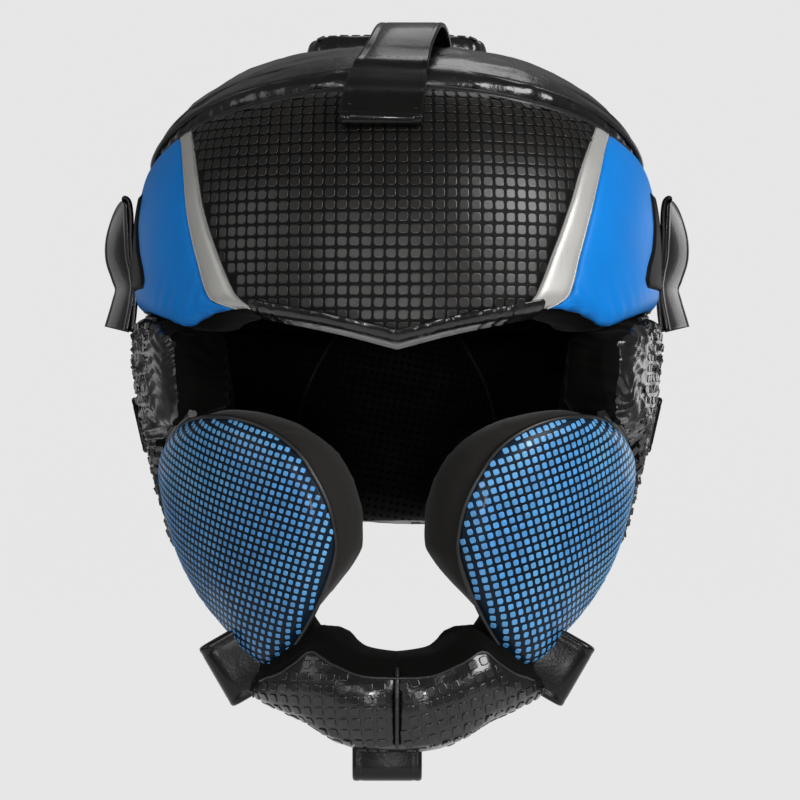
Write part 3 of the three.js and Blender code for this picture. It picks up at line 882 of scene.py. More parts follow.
def stitch_tree():
    """Stitches set at even steps along paths."""
    inputs = {"Spacing": "Float", "Length": "Float", "Thick": "Float", "Material": "Material"}
    graph, read = node_tree("stitches", inputs)
    curve = graph.node("GeometryNodeMeshToCurve", {}, {"Mesh": read("Geometry")})
    steps = {"Curve": curve, "Length": read("Spacing")}
    spots = graph.node("GeometryNodeCurveToPoints", {"mode": "LENGTH"}, steps)
    turn = Socket(graph, spots.link.node.outputs["Rotation"])
    thick = read("Thick")
    scale = graph.node("ShaderNodeCombineXYZ", {}, {"X": thick, "Y": thick, "Z": read("Length")})
    block = graph.node("GeometryNodeMeshCube", {}, {"Size": (1, 1, 1)})
    bead = graph.node("GeometryNodeSubdivisionSurface", {}, {"Mesh": block, "Level": 1})
    values = {"Points": spots, "Instance": bead, "Rotation": turn, "Scale": scale}
    stitches = graph.node("GeometryNodeInstanceOnPoints", {}, values)
    return end_tree(graph, stitches, read("Material"))


def piping_tree():
    """Round piping along paths."""
    graph, read = node_tree("piping", {"Radius": "Float", "Material": "Material"})
    curve = graph.node("GeometryNodeMeshToCurve", {}, {"Mesh": read("Geometry")})
    ring = graph.node("GeometryNodeCurvePrimitiveCircle", {}, {"Resolution": 8, "Radius": read("Radius")})
    values = {"Curve": curve, "Profile Curve": ring, "Fill Caps": True}
    tube = graph.node("GeometryNodeCurveToMesh", {}, values)
    return end_tree(graph, tube, read("Material"))


TREES = {"pressed_tiles": tile_tree, "stitches": stitch_tree, "piping": piping_tree}


def grow(piece, kind, inputs):
    """Runs a tree, made on its first use, on a piece with the given inputs, and bakes it."""
    tree = bpy.data.node_groups.get(kind) or TREES[kind]()
    modifier = piece.modifiers.new(kind, "NODES")
    modifier.node_group = tree
    for item in tree.interface.items_tree:
        if item.in_out == "INPUT" and item.name in inputs:
            modifier[item.identifier] = inputs[item.name]
    bake(piece)
    return piece


def path_piece(name, paths):
    """Open or closed lines of points in millimetres, as edges; a closed line repeats its first point."""
    points, edges = [], []
    for path in paths:
        path = np.asarray(path, float)
        closed = np.allclose(path[0], path[-1])
        line = path[:-1] if closed else path
        first = len(points)
        points += (line * MM).tolist()
        edges += [(first + i, first + i + 1) for i in range(len(line) - 1)]
        edges += [(first + len(line) - 1, first)] if closed else []
    mesh = bpy.data.meshes.new(name)
    mesh.from_pydata(points, edges, [])
    return link(name, mesh)


STITCH_SHARE = 0.66  # a stitch's length, as a share of the spacing
STITCH_THICK = 0.55
RAY_START = 18  # rays towards a face start this far outside the shell
RAY_REACH = 45


def piping(name, paths, radius, material="piping_leather"):
    """Piping along paths; the radius is in metres."""
    return grow(path_piece(name, paths), "piping", {"Radius": radius, "Material": finish(material)})


def stitching(name, paths, spacing):
    """Stitches along paths; the spacing is in metres."""
    inputs = {
        "Spacing": spacing,
        "Length": STITCH_SHARE * spacing,
        "Thick": STITCH_THICK * MM,
        "Material": finish("seam_thread"),
    }
    return grow(path_piece(name, paths), "stitches", inputs)


def ray_tree(piece):
    """A piece's faces, ready for rays."""
    mesh = piece.data
    points = [v.co.copy() for v in mesh.vertices]
    return BVHTree.FromPolygons(points, [tuple(p.vertices) for p in mesh.polygons])


def sheet_place(angle, z):
    """The flat sheet's across and up at an angle and level."""
    narrowing = shell_radius(angle, z) / shell_radius(angle, SHOULDER_Z)
    return np.interp(angle, ARC_ANGLES, ARC_ACROSS) * narrowing, np.interp(z, RISE_LEVELS, RISE_UP)


class Grid(NamedTuple):
    """A square grid of pressed tiles: its middle, reach and turn, and how its tiles sit."""

    angle: float
    level: float
    reach: float
    turn: float = 0.0
    pitch: float = 1.0  # shares of the spacing and of the tile rise that a user sets
    rise: float = 1.0
    width: float = 0.76  # of a tile, as a share of the spacing
    wobble: float = 0.0  # how far the rows wander
    facing: float = 0.35  # how squarely a face has to look outwards to carry a tile
    leather: str = "gloss_tile"

    def inputs(self, spacing, rise):
        """The tile tree's inputs for the sizes that a user sets, in metres."""
        width = self.width * (self.pitch * spacing)
        return {"Width": width, "Height": 2 * self.rise * rise, "Material": finish(self.leather)}


def press_grid(piece, grid, spacing, rise, keep):
    """Presses a grid into a piece's outer face, wrapped round the head, where keep(angle, z) holds."""
    step = grid.pitch * spacing / MM
    count = int(grid.reach / step) + 1
    i, j = np.meshgrid(np.arange(-count, count) + 0.5, np.arange(-count, count) + 0.5)
    i, j = i.ravel() * step, j.ravel() * step
    sway = np.stack([i, j, np.full_like(i, grid.angle)], axis=1)
    i = i + grid.wobble * noise(sway, 3 * step, seed=3)
    j = j + grid.wobble * noise(sway, 3 * step, seed=4)
    sin, cos = math.sin(grid.turn * DEG), math.cos(grid.turn * DEG)
    across, up = sheet_place(grid.angle, grid.level)
    angle, z = lay(across + i * cos - j * sin, up + i * sin + j * cos)
    beside = on_shell(*lay(across + (i + 1) * cos - j * sin, up + (i + 1) * sin + j * cos))
    kept = keep(angle, z)
    angle, z = angle[kept], z[kept]
    along = unit(beside[kept] - on_shell(angle, z))
    rays = zip(on_shell(angle, z, RAY_START), shell_normal(angle, z), along)
    press_tiles(piece, rays, grid.facing, grid.inputs(spacing, rise))


def press_tiles(piece, rays, facing, inputs):
    """Sets tiles where rays meet a piece's face; a ray is its start and its outward and along directions."""
    tree = ray_tree(piece)
    spots, outs, alongs = [], [], []
    for start, out, along in rays:
        place, normal, _, _ = tree.ray_cast(Vector(start * MM), Vector(-out), RAY_REACH * MM)
        if place is not None and normal.dot(Vector(out)) > facing:
            spots.append(place)
            outs.append(normal)
            alongs.append(along)
    mesh = bpy.data.meshes.new("tile_spots")
    mesh.from_pydata(spots, [], [])
    for label, vectors in (("out", outs), ("along", alongs)):
        layer = mesh.attributes.new(label, "FLOAT_VECTOR", "POINT")
        layer.data.foreach_set("vector", np.asarray(vectors, float).ravel())
    tile = tile_shape()
    absorb(piece, grow(link("tile_spots", mesh), "pressed_tiles", {"Tile": tile, **inputs}))
    discard(tile)


# Padded pieces
class Pad(NamedTuple):
    """How a pad is stuffed: millimetres, fullness from 0 to 1, and its finishes."""

    voxel: float
    swell: float
    fill: float
    crease: float
    slot: str
    outside: str
    inside: str


PADS = {
    "crown_pad": Pad(4.2, 2.0, 0.7, 0.5, "gloss_black", "gloss_leather", "shaded_inner_lining"),
    "forehead_pad": Pad(3.6, 1.4, 0.8, 0.3, "lining_black", "gloss_leather", "shaded_inner_lining"),
    "back_pad": Pad(4.2, 2.2, 0.7, 0.5, "gloss_black", "gloss_leather", "mesh_lining"),
    "nape_pad": Pad(4.2, 2.4, 0.7, 0.5, "gloss_black", "gloss_leather", "mesh_lining"),
    "side_pad_right": Pad(3.4, 2.2, 0.65, 0.7, "gloss_black", "gloss_leather", "shaded_inner_lining"),
    "side_pad_left": Pad(3.4, 2.2, 0.65, 0.7, "gloss_black", "gloss_leather", "shaded_inner_lining"),
    "cheek_pad_right": Pad(2.8, 1.8, 0.85, 0.25, "lining_black", "matte_lining", "matte_lining"),
    "cheek_pad_left": Pad(2.8, 1.8, 0.85, 0.25, "lining_black", "matte_lining", "matte_lining"),
    "chin_bar_right": Pad(2.0, 2.0, 0.8, 0.12, "gloss_black", "gloss_leather", "shaded_inner_lining"),
    "chin_bar_left": Pad(2.0, 2.0, 0.8, 0.12, "gloss_black", "gloss_leather", "shaded_inner_lining"),
    "top_pad": Pad(2.2, 0.8, 0.8, 0.2, "strap_black", "gloss_leather", "gloss_leather"),
}
INSET_SHARE = 0.15  # a pad starts this share of its swelling below its solid
SIM_FRAMES = 20
PRESSURE = 4.0
HEAD_MIDDLE = -60  # level above which outwards also means upwards

# In a pair of angles, levels or depths an effect starts at the first and is full at the second.
CREASE_GRAIN = 13
FINE_GRAIN = 7
FINE_SHARE = 0.35
FINE_SHIFT = 0.5
FOLD_STEP = 5.4  # between the folds of the sides' leather
FOLD_HEIGHT = 0.75
FOLD_WANDER = 1.1  # how far a fold strays, in steps
FOLD_GRAIN = 12
FOLD_FADE = (94, 72)
FOLD_LEAST = 0.12
FOLD_PATCH = {"middle": 0.6, "spread": 0.8, "grain": 16, "least": 0.15}
GUSSET_BULGE = {"right": 6.0, "left": 3.5}
GUSSET_DROP = 6.0  # how far the back of a cheek's top lies below its solid
GUSSET_TAPER = 9.0  # how far the back of its foot is drawn away from the mouth
GUSSET_DEPTH = (4, 40)  # behind the shell; the bulge is fullest halfway
GUSSET_BACK = (3, 25)
GUSSET_MOUTH = (34, 16)  # angles
GUSSET_OUTER = (58, 44)
GUSSET_FOOT = (-184, -208)  # levels
GUSSET_HEAD = (-172, -142)
CHIN_END = 18  # the angle from which a chin half is drawn out to the jaw
CHIN_DRAW = 0.42
CHIN_PRESS = 2.4  # the chin halves are pressed into each other this far at the middle
CHIN_PRESS_REACH = 10
CHIN_PIPING = 5.6  # the line between the chin's front and its lining, below its top
CHIN_PIPING_FADE = (26, 17)
CHIN_PIPING_LEAST = 0.15
CHIN_WING = {"angle": (10, 14, 17, 20, 24, 29), "top": (-221, -211, -203, -199, -200, -208)}
CHIN_WING_FOOT = 12  # the wing rises from this far below the chin's top
CHIN_WING_DEPTH = (4, 12)
CHIN_SAG = 2.6
CHIN_SAG_LEVELS = (-238, -252)
CHIN_FULL = 1.012

# A face is lining by how far it looks outwards, upwards or sideways.
LINED_OUT = -0.3
LINED_CHIN_UP = -0.2
LINED_BROW_UP = -0.45
LINED_SIDE = 0.35

PAD_RISE = 2.0  # the pads' tiles stand this many times as high as the forehead's
SIDE_ANGLES = (59, 125)  # these angles and levels are the limits of the grids
REAR_ANGLES = (93, 179.4)
BACK_LEVELS = (-91, -47)
NAPE_LEVELS = (-183, -100)
CHIN_GRID_GAP = 0.9  # degrees from the chin's middle seam
CHIN_GRID_MARGIN = 1.6
SIDE_GRID = Grid(92, -142, 120, pitch=0.85, rise=0.8 * PAD_RISE, wobble=0.7, facing=0.6)
BACK_GRID = Grid(140, sum(BACK_LEVELS) / 2, 150, rise=PAD_RISE, wobble=0.4, facing=0.8)
NAPE_GRID = BACK_GRID._replace(level=sum(NAPE_LEVELS) / 2)
CHIN_GRID = Grid(14, -238, 64, pitch=0.87, rise=PAD_RISE, width=0.84, wobble=0.3, facing=0.2)
CHIN_GRID_TURN = {"right": 17, "left": 2}
TOP_GRID = Grid(0, 0, 0, rise=PAD_RISE, facing=0.8)  # pressed from above, so it has no place on the shell
TOP_HALF_COUNT = (8, 6)  # tiles to either side of the middle, across and along
TOP_MIDDLE_Y = 22
TOP_ABOVE = 40  # the level that its rays start from


def soft_copy(node):
    """A pad's solid as an even skin, a little smaller than it."""
    pad = PADS[node]
    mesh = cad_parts[node].data.copy()
    weld(mesh, recalculate=False)
    piece = link(f"{node}_leather", mesh)
    remesh = piece.modifiers.new("Remesh", "REMESH")
    remesh.mode = "VOXEL"
    remesh.voxel_size = pad.voxel * MM
    smooth = piece.modifiers.new("Smooth", "SMOOTH")
    smooth.iterations = 2
    bake(piece)
    points = coordinates(piece.data) - point_normals(piece.data) * (INSET_SHARE * pad.swell)
    if node.startswith("chin_bar"):
        points = drawn_out(points)
    if node.startswith("cheek_pad"):
        points = cheek_bulge(points, GUSSET_BULGE[node.removeprefix("cheek_pad_")])
    move_points(piece.data, points)
    return piece


def shell_depth(points):
    """How far points lie inside the shell, towards the upright axis."""
    return shell_radius(*polar(points)) - np.hypot(points[:, 0], points[:, 1])


def chin_line(angle):
    """The level of the line between the chin's front and its lining."""
    away = np.maximum(ramp(np.abs(angle), *CHIN_PIPING_FADE), CHIN_PIPING_LEAST)
    return column(CHIN, "angle", "top", np.abs(angle)) - CHIN_PIPING * away


def drawn_out(points):
    """A chin half pushed against the other half, with its end drawn out to the jaw and raised behind."""
    angle, z = polar(points)
    top = column(CHIN, "angle", "top", np.abs(angle))
    rise = np.maximum(column(CHIN_WING, "angle", "top", np.abs(angle)) - top, 0)
    behind = ramp(shell_depth(points), *CHIN_WING_DEPTH)
    z = z + rise * ramp(z - top, -CHIN_WING_FOOT, 0) * behind
    near = np.clip(1 - np.abs(points[:, 0]) / CHIN_PRESS_REACH, 0, 1)
    points = points - np.sign(angle)[:, None] * near[:, None] * np.array([CHIN_PRESS, 0, 0])
    z = z - CHIN_SAG * ramp(z, *CHIN_SAG_LEVELS)
    points = points * np.array([CHIN_FULL, CHIN_FULL, 1])
    further = angle + np.sign(angle) * CHIN_DRAW * np.maximum(np.abs(angle) - CHIN_END, 0)
    moved = np.arctan2(points[:, 0], -points[:, 1]) / DEG + further - angle
    radius = np.hypot(points[:, 0], points[:, 1]) * shell_radius(further, z) / shell_radius(angle, z)
    return np.stack([radius * np.sin(moved * DEG), -radius * np.cos(moved * DEG), z], axis=1)


def cheek_bulge(points, bulge):
    """A cheek whose gusset bulges towards the mouth behind the blue face and narrows at its top and foot."""
    angle, z = polar(points)
    depth = shell_depth(points)
    behind = np.sin(ramp(depth, *GUSSET_DEPTH) * math.pi)
    back = ramp(depth, *GUSSET_BACK)
    foot = ramp(z, *GUSSET_FOOT)
    head = ramp(z, *GUSSET_HEAD) * ramp(np.abs(angle), *GUSSET_OUTER)
    inwards = bulge * behind * (1 - foot) - GUSSET_TAPER * back * foot
    moved = np.zeros_like(points)
    moved[:, 0] = -np.sign(points[:, 0]) * inwards * ramp(np.abs(angle), *GUSSET_MOUTH)
    moved[:, 2] = -GUSSET_DROP * back * head
    return points + moved


def add_cloth(piece):
    """Makes a pad's skin an air-tight cloth that pressure swells."""
    cloth = piece.modifiers.new("Cloth", "CLOTH")
    settings = cloth.settings
    settings.quality = 4
    settings.mass = 0.2
    settings.tension_stiffness = 12
    settings.compression_stiffness = 12
    settings.bending_stiffness = 0.4
    settings.shrink_min = -0.03
    settings.use_pressure = True
    settings.uniform_pressure_force = PRESSURE
    settings.effector_weights.gravity = 0
    cloth.collision_settings.use_collision = False
    cloth.point_cache.frame_end = SIM_FRAMES


def swell_pads(pieces):
    """Lets the pads' skins swell together under pressure, each point no further than its pad allows."""
    scene = bpy.context.scene
    for piece in pieces.values():
        add_cloth(piece)
    scene.frame_start, scene.frame_end = 1, SIM_FRAMES
    for number in range(1, SIM_FRAMES + 1):
        scene.frame_set(number)
    depsgraph = bpy.context.evaluated_depsgraph_get()
    swollen = {node: coordinates(piece.evaluated_get(depsgraph).data) for node, piece in pieces.items()}
    for node, piece in pieces.items():
        piece.modifiers.clear()
        start = coordinates(piece.data)
        moved = swollen[node] - start
        length = np.maximum(np.linalg.norm(moved, axis=1, keepdims=True), 1e-9)
        move_points(piece.data, start + moved * np.minimum(1, PADS[node].swell / length))
    scene.frame_set(1)


def outward_share(centres, normals):
    """How much each face looks away from the head, from -1 to 1."""
    away = centres * np.array([1, 1, 0])
    away[:, 2] = np.maximum(centres[:, 2] - HEAD_MIDDLE, 0)
    return (unit(away) * normals).sum(axis=1)


def lined_faces(node, mesh):
    """Which faces of a pad are lining."""
    centres, normals = face_frames(mesh)
    share = outward_share(centres, normals)
    if node.startswith("chin_bar"):
        angle, z = polar(centres)
        return (z > chin_line(angle)) | ((share < 0) & (normals[:, 2] > LINED_CHIN_UP))
    if node.startswith("side_pad"):
        return normals[:, 0] * np.sign(centres[:, 0]) < LINED_SIDE
    if node == "forehead_pad":
        # the brow's downward faces take the lining that is painted dark as shade under the brow
        return (share < LINED_OUT) | (normals[:, 2] < LINED_BROW_UP)
    return share < LINED_OUT


def creased(points, normals, depth):
    """Points moved along their normals by soft creases: shallow hollows with sharper ridges."""
    wide = ridges(points, CREASE_GRAIN, seed=1)
    fine = ridges(points + FINE_SHIFT * normals, FINE_GRAIN, seed=2)
    return points + normals * (depth * ((1 - FINE_SHARE) * wide + FINE_SHARE * fine))[:, None]


def crumpled(points, normals):
    """Points of the sides gathered into folds that run round the head and fade behind the ears."""
    angle, _ = polar(points)
    ahead = np.maximum(ramp(np.abs(angle), *FOLD_FADE), FOLD_LEAST)
    phase = points[:, 2] / FOLD_STEP + FOLD_WANDER * noise(points, FOLD_GRAIN, seed=5)
    fold = 1 - 2 * np.abs(np.sin(math.pi * phase))
    patch = FOLD_PATCH["middle"] + FOLD_PATCH["spread"] * noise(points, FOLD_PATCH["grain"], seed=6)
    height = FOLD_HEIGHT * fold * np.clip(patch, FOLD_PATCH["least"], 1) * ahead
    return points + normals * height[:, None]


def finish_pad(node, piece):
    """Subdivides a stuffed pad, creases its leather and lines its inside."""
    pad = PADS[node]
    folded = node.startswith("side_pad")
    subdivide = piece.modifiers.new("Subdivision", "SUBSURF")
    subdivide.levels = subdivide.render_levels = 2 if folded else 1
    bake(piece)
    mesh = piece.data
    lined = lined_faces(node, mesh)
    points = creased(coordinates(mesh), point_normals(mesh), pad.crease)
    if folded:
        points = crumpled(points, point_normals(mesh))
    move_points(mesh, points)
    dress(mesh, [pad.outside, pad.inside], lined)


def between(angles, levels=(-300, 100)):
    """A test for angles to either side of the face and levels between limits."""

    def keep(angle, z):
        turned = (np.abs(angle) > angles[0]) & (np.abs(angle) < angles[1])
        return turned & (z > levels[0]) & (z < levels[1])

    return keep


def chin_front(angle, z):
    """A test for places on the leather of the chin's front."""
    return (np.abs(angle) > CHIN_GRID_GAP) & (z < chin_line(angle) - CHIN_GRID_MARGIN)


def press_top(piece, sizes):
    """Presses a grid straight down into the top pad."""
    step = sizes.pad_pitch / MM
    i, j = np.meshgrid(*[np.arange(-half, half) + 0.5 for half in TOP_HALF_COUNT])
    x, y = i.ravel() * step, j.ravel() * step + TOP_MIDDLE_Y
    starts = np.stack([x, y, np.full_like(x, TOP_ABOVE)], axis=1)
    up, along = np.array([0, 0, 1.0]), np.array([1.0, 0, 0])
    rays = [(start, up, along) for start in starts]
    press_tiles(piece, rays, TOP_GRID.facing, TOP_GRID.inputs(sizes.pad_pitch, sizes.tile_rise))


def press_pads(pieces, sizes):
    """Presses the grid into the leather of the sides, the back, the nape, the chin and the top pad."""
    for name, side in SIDES.items():
        fields = (
            (f"side_pad_{name}", SIDE_GRID, between(SIDE_ANGLES)),
            ("back_pad", BACK_GRID, between(REAR_ANGLES, BACK_LEVELS)),
            ("nape_pad", NAPE_GRID, between(REAR_ANGLES, NAPE_LEVELS)),
            (f"chin_bar_{name}", CHIN_GRID._replace(turn=CHIN_GRID_TURN[name]), chin_front),
        )
        for node, grid, keep in fields:
            grid = grid._replace(angle=side * grid.angle)
            press_grid(pieces[node], grid, sizes.pad_pitch, sizes.tile_rise, keep)
    press_top(pieces["top_pad"], sizes)


class HEADGEAR_OT_pads(bpy.types.Operator):
    """Stuff the pads, crease their leather and press its grid"""

    bl_idname = "headgear.pads"
    bl_label = "Padded Leather"

    def execute(self, context):
        pieces = {node: soft_copy(node) for node in PADS}
        swell_pads(pieces)
        for node, piece in pieces.items():
            finish_pad(node, piece)
        press_pads(pieces, context.scene.headgear_sizes)
        for node, piece in pieces.items():
            declare(piece, PADS[node].slot, node, fill=PADS[node].fill)
        return {"FINISHED"}


# Forehead
COVER_SHARES = np.linspace(0.03, 0.985, 48)
COVER_THICK = 1.5
COVER_LIFT = 0.15
COVER_RIPPLE = 0.25
COVER_GRAIN = 17
COVER_COLUMNS = {"panel": 110, "stripe": 14, "temple": 72}
SEAM_HALF = 0.12  # half of the gap between two covers, in degrees
SEAM_DEPTH = 0.6
SEAM_WIDTH = 1.3
PUCKER = 1.0  # height of the folds at the foot of the temple panels
PUCKER_SLANT = {"angle": 1.5, "share": 34}
PUCKER_FADE = {"share": 0.17, "seam": 26}
TEMPLE_END = FOREHEAD_END - 1.2
STRIPE_RIM = {"inset": 0.55, "lift": -0.2, "radius": 0.45}  # degrees, millimetres and a share of the piping
FOREHEAD_GRID = Grid(0, -60, 150, width=0.86, leather="grid_leather")
GRID_SHARES = (0.05, 0.98)
GRID_MARGIN = 1.0  # degrees between the tiles and the stripes

# The roll along the brow: degrees to either side, millimetres up the face and along the underside.
LIP_END = 26
LIP_TAPER = 4
LIP_UP = 6.2
LIP_UNDER = (1.2, 7)
LIP_ROWS = {"up": 12, "under": 5}
LIP_SWELL = 2.2
LIP_TURN = (0.12, 0.85)  # the part of a half wave that its section follows
LIP_FOLD = 0.9
LIP_GRAIN = 5.5
LIP_SINK = 0.3
LIP_THICK = 1.3


def sewn(distance):
    """How far leather is pulled down beside a seam."""
    return -SEAM_DEPTH * np.exp(-((distance / SEAM_WIDTH) ** 2))


def puckers(angle, share, seam):
    """Slanted folds at the foot of a temple panel, strongest beside the stripe."""
    wave = np.sin(np.abs(angle) * PUCKER_SLANT["angle"] + share * PUCKER_SLANT["share"])
    foot = np.exp(-((share / PUCKER_FADE["share"]) ** 2)) * np.exp(-((seam / PUCKER_FADE["seam"]) ** 2))
    return PUCKER * wave * foot


def cover(name, near, far, columns, leather, folds=None):
    """A sewn cover of the forehead between two edges, in degrees at each of the covers' shares."""
    near, far = near[:, None], far[:, None]
    t = np.linspace(0, 1, columns)[None]
    angle = near + (far - near) * t
    share = np.broadcast_to(COVER_SHARES[:, None], angle.shape)
    width = np.abs(far - near) * ARC_PER_DEGREE
    place = np.stack([angle * 2, share * 100, angle * 0], axis=-1)  # about millimetres across and up
    ripple = noise(place.reshape(-1, 3), COVER_GRAIN, seed=5).reshape(angle.shape)
    lift = COVER_LIFT + sewn(np.minimum(t, 1 - t) * width) + COVER_RIPPLE * ripple
    if folds:
        lift = lift + folds(angle, share, t * width)
    outer = forehead_point(angle, share, lift)
    return slab(name, outer, forehead_point(angle, share, lift - COVER_THICK), leather)


def forehead_share(angle, z):
    """The share of the forehead's height at angles and levels."""
    bottom, top = forehead_edges(angle)
    return (z - bottom) / (top - bottom)


def on_panel(angle, z):
    """A test for places between the stripes, clear of the brow and the crown."""
    share = forehead_share(angle, z)
    edge = np.where(angle > 0, stripe_edge("right_inner", share), stripe_edge("left_inner", share))
    return (share > GRID_SHARES[0]) & (share < GRID_SHARES[1]) & (edge - np.abs(angle) > GRID_MARGIN)


def brow_lip():
    """The glossy wrinkled roll along the brow, from the face round to the underside."""
    rows, under_rows = LIP_ROWS["up"], LIP_ROWS["under"]
    up = np.concatenate([np.linspace(LIP_UP, 0, rows), np.zeros(under_rows)])[:, None]
    under = np.concatenate([np.zeros(rows), np.linspace(*LIP_UNDER, under_rows)])[:, None]
    angle, up, under = np.broadcast_arrays(np.linspace(-LIP_END, LIP_END, 140)[None], up, under)
    place = np.stack([angle * 2.2, up * 0.35, under * 0.35], axis=-1)  # folds run long across the roll
    fold = ridges(place.reshape(-1, 3), LIP_GRAIN, seed=6).reshape(angle.shape)
    swell = LIP_SWELL * np.sin(np.linspace(*LIP_TURN, rows + under_rows) * math.pi)[:, None]
    taper = ramp(np.abs(angle), LIP_END, LIP_END - LIP_TAPER) ** 0.5
    offset = (swell + LIP_FOLD * fold) * taper - LIP_SINK - edge_dip(up, FOREHEAD_ROUND) - under
    z = forehead_edges(angle)[0] + up
    outer = on_shell(angle, z, offset)
    outer[..., 2] -= np.where(under > 0, 0.5 * swell, 0)
    return slab("brow_lip", outer, on_shell(angle, z, offset - LIP_THICK), "gloss_leather")


class HEADGEAR_OT_forehead(bpy.types.Operator):
    """Sew the forehead's covers: gridded centre, silver stripes, blue temples and the brow's lip"""

    bl_idname = "headgear.forehead"
    bl_label = "Forehead Covers"

    def execute(self, context):
        sizes = context.scene.headgear_sizes
        edges = {name: stripe_edge(name, COVER_SHARES) for name in STRIPE if name != "share"}
        near, far = SEAM_HALF - edges["left_inner"], edges["right_inner"] - SEAM_HALF
        # the panel's leather shows between the tiles, painted darker as shade in the grooves
        panel = cover("forehead_panel", near, far, COVER_COLUMNS["panel"], "shaded_groove_leather")
        press_grid(panel, FOREHEAD_GRID, sizes.forehead_pitch, sizes.tile_rise, on_panel)
        declare(panel, "grid_black", "forehead_cover", fill=0.8)
        for name, side in SIDES.items():
            inner, outer = edges[f"{name}_inner"], edges[f"{name}_outer"]
            near, far = side * (inner + SEAM_HALF), side * (outer - SEAM_HALF)
            stripe = cover(f"silver_stripe_{name}", near, far, COVER_COLUMNS["stripe"], "silver_leather")
            rims = [
                forehead_point(side * edge, COVER_SHARES, STRIPE_RIM["lift"])
                for edge in (inner + STRIPE_RIM["inset"], outer - STRIPE_RIM["inset"])
            ]
            radius = STRIPE_RIM["radius"] * sizes.piping
            absorb(stripe, piping(f"stripe_rims_{name}", rims, radius, "silver_leather"))
            declare(stripe, "stripe_silver", f"forehead_stripe_{name}", fill=0.7)
            near, far = side * (outer + SEAM_HALF), np.full_like(outer, side * TEMPLE_END)
            columns = COVER_COLUMNS["temple"]
            temple = cover(f"temple_panel_{name}", near, far, columns, "temple_leather", puckers)
            declare(temple, "temple_blue", f"temple_cover_{name}", fill=0.8)
        declare(brow_lip(), "gloss_black")
        return {"FINISHED"}


# Cheeks
CHEEK_LOW_EDGE = 2.8  # how much further in the face begins at its upper inner edge
CHEEK_LOW_LEVELS = (-182, -152)
CHEEK_LOW_ANGLES = (46, 34)
CHEEK_RINGS = (1.6, 2.2, 3, 4, 5.5, 7, 8.5, 10)
CHEEK_SHARES = np.linspace(0.08, 1, 13)  # of the way from the last ring to the middle
CHEEK_MARGIN = 1.75
CHEEK_GRID = {
    "right": Grid(*CHEEK_CENTRE, 95, 17, pitch=1.05, rise=0.8, width=0.74, leather="cheek_tile"),
    "left": Grid(-CHEEK_CENTRE[0], CHEEK_CENTRE[1], 95, -17, 0.92, 0.8, 0.69, leather="cheek_tile"),
}


def face_inset(angle, z):
    """How much further in the blue face begins, at places along the cheek's edge."""
    return CHEEK_LOW_EDGE * ramp(z, *CHEEK_LOW_LEVELS) * ramp(np.abs(angle), *CHEEK_LOW_ANGLES)


def cheek_ring(distance, share, offset):
    """A ring of the cheek's face: a distance in from its edge, then a share of the way to its middle."""
    ray = flat([CHEEK_CENTRE])[0] - CHEEK_EDGE
    reach = np.linalg.norm(ray, axis=1, keepdims=True)
    inset = face_inset(CHEEK_EDGE[:, :1] / ARC_PER_DEGREE, CHEEK_EDGE[:, 1:])
    depth = np.minimum(distance + (reach - inset - distance) * share + inset, reach)
    spot = CHEEK_EDGE + ray / reach * depth
    return on_shell(spot[:, 0] / ARC_PER_DEGREE, spot[:, 1], cheek_face(depth[:, 0]) + offset)


def cheek_grid(offset):
    """The rings of the cheek's face, from its edge to its middle."""
    edge = [cheek_ring(distance, 0, offset) for distance in CHEEK_RINGS]
    return np.array(edge + [cheek_ring(CHEEK_RINGS[-1], share, offset) for share in CHEEK_SHARES])


def on_cheek(angle, z):
    """A test for places on the blue face, clear of its edge."""
    place = np.stack([np.abs(angle) * ARC_PER_DEGREE, z], axis=1)
    return edge_distance(place, CHEEK_EDGE) - face_inset(angle, z) > CHEEK_MARGIN


class HEADGEAR_OT_cheeks(bpy.types.Operator):
    """Cover the cheeks in blue tiles on a black net"""

    bl_idname = "headgear.cheeks"
    bl_label = "Cheek Covers"

    def execute(self, context):
        sizes = context.scene.headgear_sizes
        for name, side in SIDES.items():
            outer, inner = cheek_grid(COVER_LIFT), cheek_grid(COVER_LIFT - COVER_THICK)
            if side < 0:
                outer, inner = mirrored(outer), mirrored(inner)
            face = slab(f"cheek_face_{name}", outer, inner, "cheek_net", wrap=True)
            press_grid(face, CHEEK_GRID[name], sizes.cheek_pitch, sizes.tile_rise, on_cheek)
            declare(face, "cheek_blue", f"cheek_cover_{name}", fill=0.85)
        return {"FINISHED"}


# Straps
STRAP_WIDTH = 25.4
STRAP_THICK = 2.0
STRAP_WAVE = 0.12  # how far a strap's leather strays from its path
STRAP_GRAIN = 9
STITCH_MARGIN = 3.0
STITCH_GROOVE = {"half": 0.9, "depth": 0.22}
STITCH_LIFT = 0.85  # stitches lie in the strap's groove, this far from its middle
SIDEWAYS = np.array([1.0, 0, 0])
BACKWARDS = np.array([0, 1.0, 0])
DOWN = np.array([0, 0, -1.0])
TOP_STRAP_WIDTH = 30
TOP_STRAP = {
    "x": (9.5, 8.5, 6.8, 4.6, 1.6, -1.8, -4.2, -5.6),
    "y": (-26, -36, -48, -64, -82, -97, -109, -118.4),
    "z": (12.4, 15.8, 17.6, 15.4, 7.2, -4, -14.4, -26.5),
}
TOP_POINTS = 80
TOP_DOUBLE = (0.62, 0.82)  # shares of the path over which the hanging end parts into two layers
TOP_FOLD = 3.0  # between the middles of the two layers
TOP_BACK = 56  # the point of the path that the under layer runs back to
TOP_TIP = 1.0  # how far the fold reaches past the last point
TOP_RIDGE = 0.9  # height of the ridges across the double end
TOP_RIDGE_WIDTH = 0.035
TOP_RIDGES = (0.72, 0.92)
TOP_STITCHES = (0.7, 0.97)
TOP_STRAP_REAR = 0.82  # the top strap's width behind, as a share of its width at the hanging end
